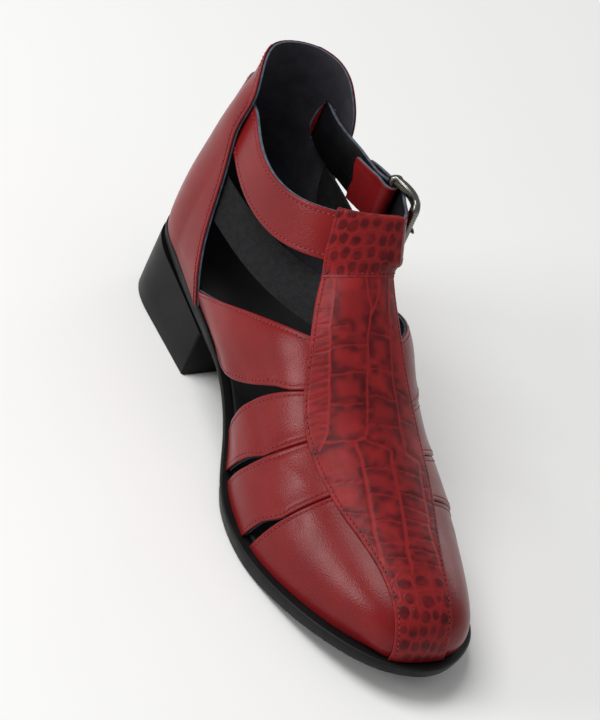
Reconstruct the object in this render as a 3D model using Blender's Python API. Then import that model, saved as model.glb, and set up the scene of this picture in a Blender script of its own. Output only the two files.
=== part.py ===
"""Left shoe of a pair of women's red leather cut-out sandals with a closed toe and a low block heel.

Sizes are millimetres in the tables and metres in the finished solids. Along the shoe, s runs forward
from the heel's back to the toe; x points to the outer (lateral) side; z is up from the floor.
The toe ends up at -Y, the outer side at +X, and the shoe stands on z = 0.
"""
import math

import bmesh
import bpy
import numpy as np

MM = 0.001

# Walls and gaps
GAP = 0.3
UPPER_WALL = 1.7
COUNTER_WALL = 1.9
STRIP_THICK = 1.2
ELASTIC_THICK = 1.2
STRAP_THICK = 2.0
INSOLE_THICK = 2.4
INSOLE_INSET = 2.7
SLEEVE_WALL = 1.3
SLEEVE_EASE = 0.9
KEEPER_WALL = 1.2
STRAP_EASE = 0.35
SLOT_SPARE = 0.6

# Feather line, where the upper meets the sole: s, inner side x, outer side x, welt left outside it
FEATHER = (
    (8.0, -18.2, 24.2, 1.2),
    (20.0, -23.2, 29.2, 1.2),
    (40.0, -24.8, 30.7, 1.2),
    (60.0, -25.3, 31.2, 1.2),
    (86.0, -26.2, 32.0, 1.3),
    (104.0, -28.4, 33.2, 1.5),
    (121.0, -32.6, 35.2, 1.9),
    (138.0, -38.4, 38.0, 2.6),
    (156.0, -43.0, 40.2, 3.2),
    (176.0, -44.6, 40.8, 3.4),
    (195.0, -41.9, 38.9, 3.8),
    (212.0, -37.3, 35.5, 4.4),
    (227.0, -31.8, 30.9, 4.8),
    (240.0, -25.0, 24.0, 5.2),
    (249.0, -17.6, 14.6, 5.6),
    (253.6, -9.6, 6.2, 6.0),
)
FEATHER_BACK = (0.4, 3.0, 1.2)
FEATHER_TOE = (255.2, -1.6, 6.2)

# Sole profile: s, height of the sole's top, height of its underside, tuck of the underside's edge
SOLE_PROFILE = (
    (-4.0, 37.8, 31.8, 0.4),
    (20.0, 36.2, 30.2, 0.4),
    (40.0, 34.2, 28.0, 0.4),
    (60.0, 31.9, 25.4, 0.6),
    (75.0, 29.6, 22.9, 1.4),
    (88.0, 26.8, 19.9, 2.6),
    (100.0, 23.4, 16.3, 3.2),
    (112.0, 19.0, 11.8, 3.0),
    (122.0, 14.9, 7.6, 2.4),
    (132.0, 11.0, 3.6, 1.8),
    (141.0, 8.4, 1.0, 1.2),
    (150.0, 7.2, 0.0, 0.9),
    (166.0, 7.0, 0.0, 0.8),
    (182.0, 7.2, 0.0, 0.8),
    (194.0, 7.9, 0.8, 0.8),
    (210.0, 9.8, 3.0, 0.8),
    (226.0, 12.2, 5.7, 0.8),
    (242.0, 14.9, 8.7, 0.8),
    (262.0, 18.2, 12.6, 0.8),
)
SOLE_STEPS = 40
INSOLE_STEPS = 34
FLAT_FROM = 150.0
FLAT_TO = 182.0

# Heel block on the floor: back, fullness of its rounded back, breast corners
HEEL_BACK_S = -0.9
HEEL_WIDEST_S = 30.0
HEEL_FULL = 2.6
HEEL_INNER_X = -26.2
HEEL_OUTER_X = 32.0
HEEL_BREAST_INNER_S = 68.0
HEEL_BREAST_OUTER_S = 63.8
HEEL_EDGE = 0.7

# Last sections from toe to ankle, each an arch from the inner feather over the crest to the outer one.
# Columns: crest s, x, z; feather s inner, outer; fullness inner, outer; swell past the feather inner,
# outer; x of the strip's edge inner, outer
SECTIONS = (
    (255.2, -2.2, 17.3, 247.6, 246.6, 2.2, 2.2, 0.0, 0.0, -16.6, 8.0),
    (255.4, -2.6, 25.0, 243.0, 242.0, 2.6, 2.3, 0.0, 0.0, -17.5, 6.2),
    (251.4, -2.8, 34.4, 237.4, 236.4, 2.6, 2.2, 0.0, 0.0, -18.1, 6.6),
    (242.8, -3.0, 40.4, 228.8, 227.8, 2.4, 2.1, 0.0, 0.0, -18.1, 8.0),
    (228.0, -3.0, 45.4, 214.0, 213.0, 2.1, 2.0, 0.2, 1.0, -19.0, 10.2),
    (210.0, -3.0, 50.0, 196.0, 194.0, 2.0, 1.9, 0.6, 3.6, -22.7, 14.8),
    (193.0, -3.0, 55.6, 175.0, 172.0, 2.0, 1.9, 1.2, 6.6, -27.0, 18.8),
    (172.0, -2.8, 64.4, 141.0, 137.0, 2.2, 2.0, 5.0, 9.6, -29.1, 20.4),
    (154.0, -2.4, 74.8, 107.0, 103.0, 2.6, 2.2, 10.2, 12.2, -27.0, 18.8),
    (139.0, -1.6, 84.8, 76.0, 74.0, 2.7, 2.4, 13.5, 14.6, -23.4, 17.4),
    (126.0, 1.0, 93.0, 54.0, 52.0, 2.6, 2.4, 10.5, 10.5, -18.4, 18.2),
    (114.6, 5.0, 99.0, 42.0, 40.0, 2.4, 2.5, 8.0, 8.0, -12.6, 19.4),
)
SWELL_RISE = 0.45

# Edges of the cuts in the upper: s on the strip's inner edge, s on the inner feather,
# s on the strip's outer edge, s on the outer feather, bow of the edge towards the heel in rows,
# rows of faces in the panel ahead of the edge,
# share of the way from strip to feather over which the cut behind the edge stays closed,
# share of its full width that a cut has along most of the side before it opens out at the feather
CUTS = (
    ("vamp rear", 189.8, 177.0, 196.0, 173.0, 0.0, 14, 0.42, 1.0),
    ("strap 1 front", 189.0, 171.0, 195.2, 167.0, 0.0, 1, 0.0, 1.0),
    ("strap 1 rear", 165.0, 140.4, 176.2, 136.0, 0.0, 4, 0.36, 1.0),
    ("strap 2 front", 164.2, 135.8, 175.4, 131.6, 0.0, 1, 0.0, 1.0),
    ("strap 2 rear", 147.2, 118.6, 157.8, 114.0, 0.16, 4, 0.06, 1.0),
    ("strap 3 front", 146.0, 86.6, 156.6, 83.0, 0.0, 1, 0.0, 0.45),
    ("strap 3 rear", 131.0, 50.0, 136.4, 48.0, 0.0, 5, 0.0, 1.0),
)
SIDE_COLUMNS = 9
STRIP_COLUMNS = 8
BASE_ROWS = 5
# A cut opens from nothing to its full width over this share of the side; where shut it is a seam
CUT_TAPER = 0.3
SEAM_ROWS = 0.015

# Counter: height, back s, inner x and outer x at the widest, roundness of the plan, spread of the
# sides towards the front, front edge s on the inner and on the outer side
COUNTER = (
    (30.0, 0.0, -24.8, 30.8, 2.50, 0.05, 61.0, 59.5),
    (36.0, -0.4, -25.3, 31.3, 2.48, 0.11, 59.0, 57.8),
    (42.0, -0.8, -25.7, 31.7, 2.45, 0.15, 56.6, 55.6),
    (54.0, -1.0, -25.7, 31.7, 2.42, 0.15, 48.6, 48.6),
    (66.0, -0.6, -25.1, 31.1, 2.38, 0.10, 42.4, 43.4),
    (80.0, 0.8, -24.0, 30.2, 2.30, 0.06, 37.6, 39.8),
    (94.0, 2.4, -23.2, 29.6, 2.20, 0.04, 33.0, 39.4),
    (106.0, 4.2, -22.2, 29.2, 2.08, 0.04, 29.6, 39.6),
    (116.0, 5.4, -19.8, 28.6, 2.02, 0.04, 28.4, 37.6),
    (121.0, 5.8, -18.2, 28.1, 2.00, 0.04, 26.4, 35.0),
    (125.0, 5.9, -17.3, 27.7, 2.00, 0.04, 23.4, 31.4),
    (128.5, 5.9, -16.8, 27.3, 2.00, 0.04, 19.8, 26.8),
    (131.2, 5.8, -16.5, 27.0, 2.00, 0.04, 15.8, 21.2),
    (133.0, 5.7, -16.4, 26.8, 2.00, 0.04, 11.6, 14.8),
    (133.8, 5.6, -16.4, 26.6, 2.00, 0.04, 8.4, 9.8),
)
COUNTER_LEVELS = (42.0, 48.0, 55.0, 62.0, 69.0, 76.0, 83.0, 90.0, 97.0, 104.0, 110.0, 116.0, 121.0, 125.0,
                  128.2, 130.4, 132.0, 133.1, 133.8)
COUNTER_WIDEST_S = 29.0
COUNTER_CENTRE_X = 3.0
COUNTER_COLUMNS = 30

# Ankle strap, its own middle line from the folded end inside the buckle, round the buckle's bar, back
# through the outer slot, round the heel, through the inner slot, through the sleeve on the strip and
# under the buckle to its tip. Columns: s, x, z, width, lean of the top towards the ankle in degrees
STRAP = (
    (57.0, 24.4, 101.2, 19.6, 0.0),
    (64.0, 24.8, 102.6, 19.6, 0.0),
    (70.0, 25.0, 104.0, 19.6, 0.0),
    (75.0, 24.6, 105.4, 19.6, 0.0),
    (78.6, 24.9, 106.2, 19.6, 0.0),
    (80.0, 27.0, 106.2, 19.6, 0.0),
    (78.6, 29.1, 106.2, 19.6, 0.0),
    (75.0, 29.3, 105.4, 19.6, 0.0),
    (69.5, 27.9, 104.0, 19.6, 0.0),
    (61.0, 27.6, 102.2, 20.0, 0.0),
    (50.0, 27.6, 100.6, 21.0, 0.0),
    (38.0, 26.3, 100.0, 21.0, 2.0),
    (29.0, 25.7, 100.0, 21.0, 2.0),
    (22.0, 26.0, 100.4, 21.0, 2.0),
    (15.0, 26.3, 101.0, 21.0, 4.0),
    (8.6, 21.9, 102.4, 21.0, 7.0),
    (4.0, 13.8, 103.4, 21.0, 8.0),
    (2.4, 4.6, 104.0, 21.0, 8.0),
    (3.5, -5.4, 104.4, 21.0, 8.0),
    (9.1, -11.3, 104.8, 21.0, 8.0),
    (16.2, -14.6, 105.2, 21.0, 9.0),
    (23.2, -17.0, 105.4, 21.0, 9.0),
    (30.0, -17.9, 105.2, 21.0, 9.0),
    (40.0, -20.2, 103.6, 21.0, 6.0),
    (52.0, -22.0, 101.2, 21.0, 4.0),
    (66.0, -22.2, 100.4, 21.0, 5.0),
    (80.0, -20.4, 102.2, 21.0, 10.0),
    (91.0, -16.4, 105.4, 21.0, 18.0),
    (99.4, -10.0, 108.4, 21.0, 26.0),
    (104.4, -2.0, 109.6, 21.0, 30.0),
    (106.8, 6.6, 110.0, 21.0, 32.0),
    (107.4, 15.0, 109.6, 21.0, 30.0),
    (105.6, 21.6, 108.8, 20.6, 22.0),
    (101.0, 24.8, 107.6, 20.0, 10.0),
    (95.0, 26.4, 106.8, 19.6, 0.0),
    (88.0, 28.8, 106.4, 19.6, 0.0),
    (79.4, 31.7, 106.2, 19.6, 0.0),
    (72.0, 31.0, 105.0, 19.6, 0.0),
    (65.0, 30.3, 103.4, 19.4, 0.0),
    (56.0, 30.0, 101.8, 16.5, 0.0),
    (52.6, 30.0, 101.4, 11.0, 0.0),
)
STRAP_STEPS = 2
# Rows of STRAP between which the sleeve on the strip and the loop at the heel hold the strap
SLEEVE_FROM = 28.05
SLEEVE_TO = 31.6
KEEPER_FROM = 16.6
KEEPER_TO = 17.4
OUTER_SLOT = (12.4, 14.9)
INNER_SLOT = (18.0, 20.4)

# Elastic bands on the inner (-1) and outer (1) side: s on the strip's edge at the top and bottom, heights
# at the counter's edge at the top and bottom, sag of the middle
ELASTICS = {
    -1: (112.0, 131.0, 84.6, 65.0, 5.0),
    1: (110.5, 127.0, 87.6, 66.0, -0.6),
}
# How far the bands reach under the strip and behind the counter's edge, and bow outwards
ELASTIC_UNDER = 6.0
ELASTIC_BEHIND = 6.0
ELASTIC_BOW = 2.0

# Buckle: s and x of the bar that the strap is folded round and of the front bar, height of its middle,
# height over all, bar, depth of the bars, bow of the long bars, half the folded-in bar, corners
BUCKLE_REAR = (77.0, 27.0)
BUCKLE_FRONT = (95.1, 29.9)
BUCKLE_Z = 106.2
BUCKLE_TALL = 30.2
BUCKLE_BAR = 4.4
BUCKLE_DEEP = 3.4
BUCKLE_BOW = 2.5
BUCKLE_PIN_R = 1.0
BUCKLE_CORNER = 3.0
BUCKLE_EASE = 0.8
PIN_EASE = 0.3

# Prong from the strap's hole to its tip over the front bar: s, x, height
PRONG = (
    (80.4, 33.6, 3.0),
    (84.0, 33.4, 2.7),
    (88.0, 33.2, 2.4),
    (92.0, 33.0, 2.1),
    (97.0, 32.8, 1.8),
)
PRONG_DEEP = 1.6
PRONG_EASE = 0.35


def spline(xs, ys, at):
    """Natural cubic spline through (xs, ys); ys may have several columns."""
    xs = np.asarray(xs, float)
    ys = np.asarray(ys, float)
    at = np.asarray(at, float)
    n = len(xs)
    h = np.diff(xs)
    a = np.eye(n)
    b = np.zeros(ys.shape)
    d = (ys[1:] - ys[:-1]) / (h if ys.ndim == 1 else h[:, None])
    for i in range(1, n - 1):
        a[i, i - 1 : i + 2] = h[i - 1], 2.0 * (h[i - 1] + h[i]), h[i]
        b[i] = 6.0 * (d[i] - d[i - 1])
    m = np.linalg.solve(a, b)
    k = np.clip(np.searchsorted(xs, at) - 1, 0, n - 2)
    t = at - xs[k]
    hk = h[k]
    if ys.ndim > 1:
        t = t[..., None]
        hk = hk[..., None]
    c1 = d[k] - hk * (2.0 * m[k] + m[k + 1]) / 6.0
    return ys[k] + t * (c1 + t * (m[k] / 2.0 + t * (m[k + 1] - m[k]) / (6.0 * hk)))


def inverse(fn, lo, hi, target, count=400):
    """Where a steadily changing function of one variable reaches a target."""
    xs = np.linspace(lo, hi, count)
    ys = fn(xs)
    if ys[0] > ys[-1]:
        xs = xs[::-1]
        ys = ys[::-1]
    return np.interp(target, ys, xs)


class Sole:
    """Outline of the feather and of the sole's edge, and the sole's profile."""

    def __init__(self):
        rows = np.array(FEATHER)
        back = np.array(FEATHER_BACK)
        toe = np.array(FEATHER_TOE)
        inner = [back[:2]] + [r[[0, 1]] for r in rows] + [toe[:2]]
        outer = [back[:2]] + [r[[0, 2]] for r in rows] + [toe[:2]]
        welt = np.concatenate([[back[2]], rows[:, 3], [toe[2]]])
        loop = np.array(inner + outer[-2:0:-1])
        welts = np.concatenate([welt, welt[-2:0:-1]])
        turn = 3
        self.points = np.concatenate([loop[-turn:], loop, loop[: turn + 1]])
        self.welts = np.concatenate([welts[-turn:], welts, welts[: turn + 1]])
        steps = np.linalg.norm(np.diff(self.points, axis=0), axis=1)
        self.t = np.concatenate([[0.0], np.cumsum(np.sqrt(steps))])
        self.t -= self.t[turn]
        self.toe_t = self.t[turn + len(inner) - 1]
        self.end_t = self.t[turn + len(loop)]
        self.profile = np.array(SOLE_PROFILE)
        self.side_t = {}
        for side, lo, hi in ((-1, 0.0, self.toe_t), (1, self.end_t, self.toe_t)):
            ts = np.linspace(lo, hi, 1200)
            self.side_t[side] = (ts, spline(self.t, self.points[:, 0], ts))

    def column(self, s, k):
        """One column of the sole's profile at s."""
        return spline(self.profile[:, 0], self.profile[:, k], np.clip(s, -4.0, 262.0))

    def top(self, s):
        """Height of the sole's upper face."""
        return self.column(s, 1)

    def under(self, s):
        """Height of the sole's underside, flat on the floor under the ball."""
        s = np.asarray(s, float)
        z = np.where((s >= FLAT_FROM) & (s <= FLAT_TO), 0.0, self.column(s, 2))
        return np.maximum(z, 0.0)

    def tuck(self, s):
        """How far the underside's edge is set in from the sole's side."""
        return np.maximum(self.column(s, 3), 0.3)

    def at(self, t, out):
        """Point of the outline at t, moved outwards."""
        t = np.asarray(t, float)
        p = spline(self.t, self.points, t)
        e = 1e-3
        d = spline(self.t, self.points, t + e) - spline(self.t, self.points, t - e)
        n = np.stack([d[..., 1], -d[..., 0]], -1)
        n /= np.linalg.norm(n, axis=-1, keepdims=True)
        return p + n * np.asarray(out)[..., None]

    def welt(self, t):
        """Welt width left outside the feather at t."""
        return spline(self.t, self.welts, t)

    def feather(self, s, side):
        """x of the feather at s on one side (-1 inner, 1 outer)."""
        ts, ss = self.side_t[side]
        return spline(self.t, self.points[:, 1], np.interp(s, ss, ts))


SOLE = Sole()


class Last:
    """The upper's outer surface: arches from feather to feather along the rows of SECTIONS."""

    def __init__(self):
        self.table = np.array(SECTIONS)
        self.rows = np.arange(len(SECTIONS), dtype=float)
        self.last_row = self.rows[-1]

    def column(self, u, k):
        """One column of the section table at row position u."""
        return spline(self.rows, self.table[:, k], u)

    def reach(self, u, side):
        """Half width of the arch from crest to feather at its widest, with its swell, and fullness."""
        k = 0 if side < 0 else 1
        fs = self.column(u, 3 + k)
        width = SOLE.feather(fs, side) - self.column(u, 1)
        return width + side * self.column(u, 7 + k), self.column(u, 5 + k)

    def arch(self, u, x, side):
        """Arch position (0 crest, 1 feather) of a given x on one side near the top of the arch."""
        wide, n = self.reach(u, side)
        share = np.clip((x - self.column(u, 1)) / wide, 0.0, 0.98)
        return 1.0 - np.arccos(share ** (n / 2.0)) / (math.pi / 2.0)

    def edge(self, u, side):
        """Arch position of the strip's edge at row position u."""
        return self.arch(u, self.column(u, 9 if side < 0 else 10), side)

    def point(self, u, v):
        """Surface point for row position u and arch position v (-1 inner feather, 1 outer feather)."""
        u = np.asarray(u, float)
        v = np.asarray(v, float)
        inner = v < 0.0
        cs, cx, cz = (self.column(u, k) for k in range(3))
        fs = np.where(inner, self.column(u, 3), self.column(u, 4))
        n = np.where(inner, self.column(u, 5), self.column(u, 6))
        swell = np.where(inner, -self.column(u, 7), self.column(u, 8))
        fx = np.where(inner, SOLE.feather(fs, -1), SOLE.feather(fs, 1))
        fz = SOLE.top(fs) + GAP
        a = (1.0 - np.abs(v)) * math.pi / 2.0
        across = np.clip(np.cos(a), 0.0, 1.0) ** (2.0 / n)
        rise = np.sin(a) ** (2.0 / n)
        grow = np.sin(np.minimum(rise / SWELL_RISE, 1.0) * math.pi / 2.0)
        x = cx + (fx - cx + swell * grow) * across
        return np.stack([fs + (cs - fs) * rise, x, fz + (cz - fz) * rise], -1)

    def top_point(self, u, x):
        """Surface point for row position u at a given x near the top of the arch."""
        side = np.where(x < self.column(u, 1), -1.0, 1.0)
        v = np.where(side < 0, -self.arch(u, x, -1), self.arch(u, x, 1))
        return self.point(u, v)

    def edge_s(self, u, side):
        """s of the strip's edge at row position u."""
        return self.point(u, side * self.edge(u, side))[..., 0]

    def row_at_edge(self, s, side):
        """Row position where the strip's edge has a given s."""
        return float(inverse(lambda u: self.edge_s(u, side), 1.6, self.last_row, s))

    def row_at_feather(self, s, side):
        """Row position where the feather has a given s."""
        return float(inverse(lambda u: self.column(u, 3 if side < 0 else 4), 0.0, self.last_row, s))


LAST = Last()


class Counter:
    """The heel cup: a plan outline per height, open at the front between two edges."""

    def __init__(self):
        self.table = np.array(COUNTER)

    def row(self, z):
        """All columns of the counter table at a height."""
        return spline(self.table[:, 0], self.table[:, 1:], np.clip(z, 30.0, self.table[-1, 0]))

    def half(self, z, side, s):
        """x of the cup's wall on one side at height z and s in front of its back."""
        r = self.row(z)
        back, wide, n, spread = r[..., 0], r[..., 1 if side < 0 else 2], r[..., 3], r[..., 4]
        k = np.clip((COUNTER_WIDEST_S - s) / (COUNTER_WIDEST_S - back), 0.0, 1.0)
        curve = (1.0 - k**n) ** (1.0 / n)
        ahead = np.maximum(s - COUNTER_WIDEST_S, 0.0)
        return COUNTER_CENTRE_X + (wide - COUNTER_CENTRE_X) * curve + side * spread * ahead

    def plan(self, z, count):
        """Points (s, x) round the cup at one height, evenly spaced on each side of its back."""
        r = self.row(float(z))
        halves = []
        for side in (-1, 1):
            front = r[5 if side < 0 else 6]
            a = np.linspace(0.0, 1.0, 400)
            s = r[0] + (front - r[0]) * a**2
            p = np.stack([s, self.half(np.full(400, float(z)), side, s)], -1)
            run = np.concatenate([[0.0], np.cumsum(np.linalg.norm(np.diff(p, axis=0), axis=1))])
            at = np.linspace(0.0, run[-1], count // 2 + 1)
            halves.append(np.stack([np.interp(at, run, p[:, k]) for k in range(2)], -1))
        return np.concatenate([halves[0][::-1], halves[1][1:]])


CUP = Counter()


def to_xyz(p):
    """Shoe coordinates (s, x, z) to room axes, still in millimetres: toe to -Y."""
    p = np.asarray(p, float)
    return np.stack([p[..., 1], -p[..., 0], p[..., 2]], -1)


def grid_normals(g):
    """Unit normals of a grid of points in room axes."""
    di = np.gradient(g, axis=0)
    dj = np.gradient(g, axis=1)
    n = np.cross(di, dj)
    return n / np.maximum(np.linalg.norm(n, axis=-1, keepdims=True), 1e-9)


class Mesh:
    """Vertices and faces being gathered for one solid, in millimetres."""

    def __init__(self):
        self.verts = []
        self.faces = []

    def add(self, points):
        """Append points and return the index of the first."""
        first = len(self.verts)
        self.verts.extend([tuple(float(c) for c in p) for p in np.asarray(points).reshape(-1, 3)])
        return first

    def loops(self, rings, caps):
        """Join closed rings of equal length side by side; without caps the last meets the first."""
        n = len(rings[0])
        starts = [self.add(r) for r in rings]
        pairs = list(zip(starts[:-1], starts[1:]))
        if not caps:
            pairs.append((starts[-1], starts[0]))
        for a, b in pairs:
            for i in range(n):
                j = (i + 1) % n
                self.faces.append((a + i, a + j, b + j, b + i))
        if caps:
            self.faces.append(tuple(starts[0] + i for i in range(n))[::-1])
            self.faces.append(tuple(starts[-1] + i for i in range(n)))

    def ladder(self, rings):
        """Join rings side by side and close both ends by rungs between a ring's two sides."""
        n = len(rings[0])
        starts = [self.add(r) for r in rings]
        for a, b in zip(starts[:-1], starts[1:]):
            for i in range(n):
                j = (i + 1) % n
                self.faces.append((a + i, a + j, b + j, b + i))
        for start, flip in ((starts[0], True), (starts[-1], False)):
            for i in range(n // 2):
                lo, hi = i, (n - i) % n
                quad = [start + lo, start + lo + 1, start + (n - i - 1) % n, start + hi]
                face = tuple(dict.fromkeys(quad))
                if len(face) > 2:
                    self.faces.append(face[::-1] if flip else face)

    def shell(self, outer, inner, keep):
        """Closed wall between two grids of points, only over the cells kept."""
        rows, cols = keep.shape
        index = {}

        def vid(layer, i, j):
            key = (layer, i, j)
            if key not in index:
                index[key] = self.add([(outer, inner)[layer][i, j]])
            return index[key]

        def kept(i, j):
            return 0 <= i < rows and 0 <= j < cols and keep[i, j]

        for i in range(rows):
            for j in range(cols):
                if not keep[i, j]:
                    continue
                ring = ((i, j), (i, j + 1), (i + 1, j + 1), (i + 1, j))
                beside = ((i - 1, j), (i, j + 1), (i + 1, j), (i, j - 1))
                self.faces.append(tuple(vid(0, *c) for c in ring))
                self.faces.append(tuple(vid(1, *c) for c in ring[::-1]))
                for k in range(4):
                    if not kept(*beside[k]):
                        a, b = ring[k], ring[(k + 1) % 4]
                        self.faces.append((vid(0, *b), vid(0, *a), vid(1, *a), vid(1, *b)))


def outsole():
    """The sole: welt ledge, side, tucked underside with a flat spot under the ball, and toe spring."""
    a = np.linspace(0.0, 1.0, SOLE_STEPS + 1)
    ease = a - 0.2 / math.pi * np.sin(2.0 * math.pi * a)
    t_in = SOLE.toe_t * ease
    t_out = SOLE.end_t + (SOLE.toe_t - SOLE.end_t) * ease
    t = np.concatenate([t_in, t_out[-2:0:-1]])
    welt = SOLE.welt(t)
    edge = SOLE.at(t, welt)
    tuck = SOLE.tuck(edge[:, 0])
    rings = []
    for inset, low, lift in (
        (tuck + 1.6, True, 0.0),
        (tuck + 0.5, True, 0.35),
        (tuck * 0.8, True, 1.3),
        (tuck * 0.0, False, -1.4),
        (tuck * 0.0 + 0.3, False, -0.4),
        (tuck * 0.0 + 0.9, False, 0.0),
    ):
        p = SOLE.at(t, welt - inset)
        flat = np.minimum(inset, 0.0)
        z = (SOLE.under(p[:, 0]) if low else SOLE.top(p[:, 0])) + lift + flat
        rings.append(to_xyz(np.stack([p[:, 0], p[:, 1], z], -1)))
    m = Mesh()
    m.ladder(rings)
    return m


def heel_outline(inset):
    """Heel block's outline on the floor, set in by a distance: inner breast, round the back, outer breast."""
    pts = []
    count = 14
    sides = ((-1, HEEL_INNER_X, HEEL_BREAST_INNER_S), (1, HEEL_OUTER_X, HEEL_BREAST_OUTER_S))
    for side, wide, breast in sides:
        mid = COUNTER_CENTRE_X
        a = np.linspace(0.0, math.pi / 2.0, count)
        s = HEEL_WIDEST_S - (HEEL_WIDEST_S - HEEL_BACK_S - inset) * np.cos(a) ** (2.0 / HEEL_FULL)
        x = mid + (wide - side * inset - mid) * np.sin(a) ** (2.0 / HEEL_FULL)
        ahead = np.linspace(HEEL_WIDEST_S, breast - inset, 6)[1:]
        s = np.concatenate([s, ahead])
        x = np.concatenate([x, np.full(5, wide - side * inset)])
        half = np.stack([s, x], -1)
        pts.append(half[::-1] if side < 0 else half[1:])
    return np.concatenate(pts)


def heel():
    """Block heel with a straight breast, its top cut to the sole's slope."""
    rings = []
    for inset, level in ((HEEL_EDGE, 0.0), (0.0, HEEL_EDGE), (0.3, None)):
        p = heel_outline(inset)
        z = np.full(len(p), level) if level is not None else SOLE.under(p[:, 0]) - GAP
        rings.append(to_xyz(np.stack([p[:, 0], p[:, 1], z], -1)))
    n = len(rings[0])
    m = Mesh()
    starts = [m.add(r) for r in rings]
    for a, b in zip(starts[:-1], starts[1:]):
        for i in range(n):
            j = (i + 1) % n
            m.faces.append((a + i, a + j, b + j, b + i))
    for start, flip in ((starts[0], True), (starts[-1], False)):
        for i in range(n // 2):
            face = tuple(dict.fromkeys((start + i, start + i + 1, start + n - 2 - i, start + n - 1 - i)))
            if len(face) > 2:
                m.faces.append(face[::-1] if flip else face)
    return m


def insole():
    """Footbed lying on the sole inside the upper's wall."""
    a = np.linspace(0.0, 1.0, INSOLE_STEPS + 1)
    t_in = SOLE.toe_t * a
    t_out = SOLE.end_t + (SOLE.toe_t - SOLE.end_t) * a
    t = np.concatenate([t_in, t_out[-2:0:-1]])
    rings = []
    edge = INSOLE_INSET
    thick = INSOLE_THICK
    for inset, lift in ((edge + 0.2, GAP), (edge, 0.8), (edge, thick - 0.5), (edge + 0.6, thick)):
        p = SOLE.at(t, np.full(len(t), -inset))
        rings.append(to_xyz(np.stack([p[:, 0], p[:, 1], SOLE.top(p[:, 0]) + lift], -1)))
    m = Mesh()
    m.ladder(rings)
    return m


class UpperGrid:
    """Rows and columns of the upper ahead of the counter, with the cells that its cuts leave.

    A row is a curve from feather to feather, held as its row position u on the last at every column.
    """

    def __init__(self):
        self.side = np.linspace(1.0, 0.0, SIDE_COLUMNS + 1) ** 1.15
        self.across = np.linspace(0.0, 1.0, STRIP_COLUMNS + 1)[1:-1]
        self.rows = [self.curve(0.0, 0.0, 0.0, 0.0, 0.0)]
        self.closed = []
        shut_ahead = 0.0
        for name, edge_in, feather_in, edge_out, feather_out, bow, count, shut, narrow in CUTS:
            end = self.curve(
                LAST.row_at_edge(edge_in, -1),
                LAST.row_at_feather(feather_in, -1),
                LAST.row_at_edge(edge_out, 1),
                LAST.row_at_feather(feather_out, 1),
                bow,
            )
            start = self.rows[-1]
            cut = name.endswith("front")
            if cut:
                end = start + np.maximum((end - start) * self.taper(shut_ahead, narrow), SEAM_ROWS)
            for k in range(1, count + 1):
                share = (k / count) ** 0.9 if name == "vamp rear" else k / count
                self.rows.append(start + (end - start) * share)
                self.closed.append(shut_ahead if cut else 1.0)
            shut_ahead = shut
        start = self.rows[-1]
        for k in range(1, BASE_ROWS + 1):
            self.rows.append(start + (LAST.last_row - start) * k / BASE_ROWS)
            self.closed.append(-1.0)

    def curve(self, edge_in, feather_in, edge_out, feather_out, bow):
        """Row positions at every column, from those at the strip's edges and at the feathers."""
        inner = edge_in + (feather_in - edge_in) * self.side
        outer = edge_out + (feather_out - edge_out) * self.side
        swing = bow * np.sin(math.pi * self.side)
        middle = edge_in + (edge_out - edge_in) * self.across
        return np.concatenate([inner + swing, middle, (outer + swing)[::-1]])

    def taper(self, shut, narrow):
        """Share of a cut's full width at every column: none where it is shut, then opening smoothly."""
        k = np.clip((self.side - shut) / CUT_TAPER, 0.0, 1.0)
        k = k * k * (3.0 - 2.0 * k) * (narrow + (1.0 - narrow) * self.side**3)
        return np.concatenate([k, np.zeros(len(self.across)), k[::-1]])

    def points(self):
        """Outer surface points of every row and column."""
        n = SIDE_COLUMNS + 1
        out = []
        for u in self.rows:
            e = LAST.edge(u[:n], -1)
            inner = LAST.point(u[:n], -(e + (1.0 - e) * self.side))
            mid = u[n:-n]
            lo, hi = LAST.column(mid, 9), LAST.column(mid, 10)
            middle = LAST.top_point(mid, lo + (hi - lo) * self.across)
            e = LAST.edge(u[-n:], 1)
            outer = LAST.point(u[-n:], e + (1.0 - e) * self.side[::-1])
            out.append(np.concatenate([inner, middle, outer]))
        return np.array(out)

    def keep(self):
        """Cells left after the slits and gaps are cut and only the strip's base goes on to the ankle."""
        cols = 2 * SIDE_COLUMNS + STRIP_COLUMNS
        cells = np.ones((len(self.rows) - 1, cols), bool)
        reach = (self.side[1:] + self.side[:-1]) / 2.0
        for i, shut in enumerate(self.closed):
            if shut < 1.0:
                cut = reach > shut
                cells[i, :SIDE_COLUMNS] = ~cut
                cells[i, -SIDE_COLUMNS:] = ~cut[::-1]
        return cells


def upper_front():
    """Vamp, three straps each side and the base under the strip, as one cut wall."""
    grid = UpperGrid()
    g = to_xyz(grid.points())
    n = grid_normals(g)
    if n[len(g) // 2, SIDE_COLUMNS + STRIP_COLUMNS // 2, 2] < 0.0:
        n = -n
    m = Mesh()
    m.shell(g, g - n * UPPER_WALL, grid.keep())
    return m


def counter_grid():
    """Outer surface of the heel cup, rows from the feather to the rim."""
    rows = []
    for k, level in enumerate((34.0,) + COUNTER_LEVELS):
        p = CUP.plan(level, COUNTER_COLUMNS)
        z = SOLE.top(p[:, 0]) + GAP if k == 0 else np.full(len(p), level)
        rows.append(np.stack([p[:, 0], p[:, 1], z], -1))
    return to_xyz(np.array(rows))


def counter():
    """Heel cup with a high rounded collar, its wall measured level from the outer face."""
    g = counter_grid()
    along = np.gradient(g, axis=1)
    n = np.stack([along[..., 1], -along[..., 0], np.zeros(g.shape[:2])], -1)
    n /= np.linalg.norm(n, axis=-1, keepdims=True)
    if n[5, 0, 0] > 0.0:
        n = -n
    m = Mesh()
    m.shell(g, g - n * COUNTER_WALL, np.ones((g.shape[0] - 1, g.shape[1] - 1), bool))
    return m


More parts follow.
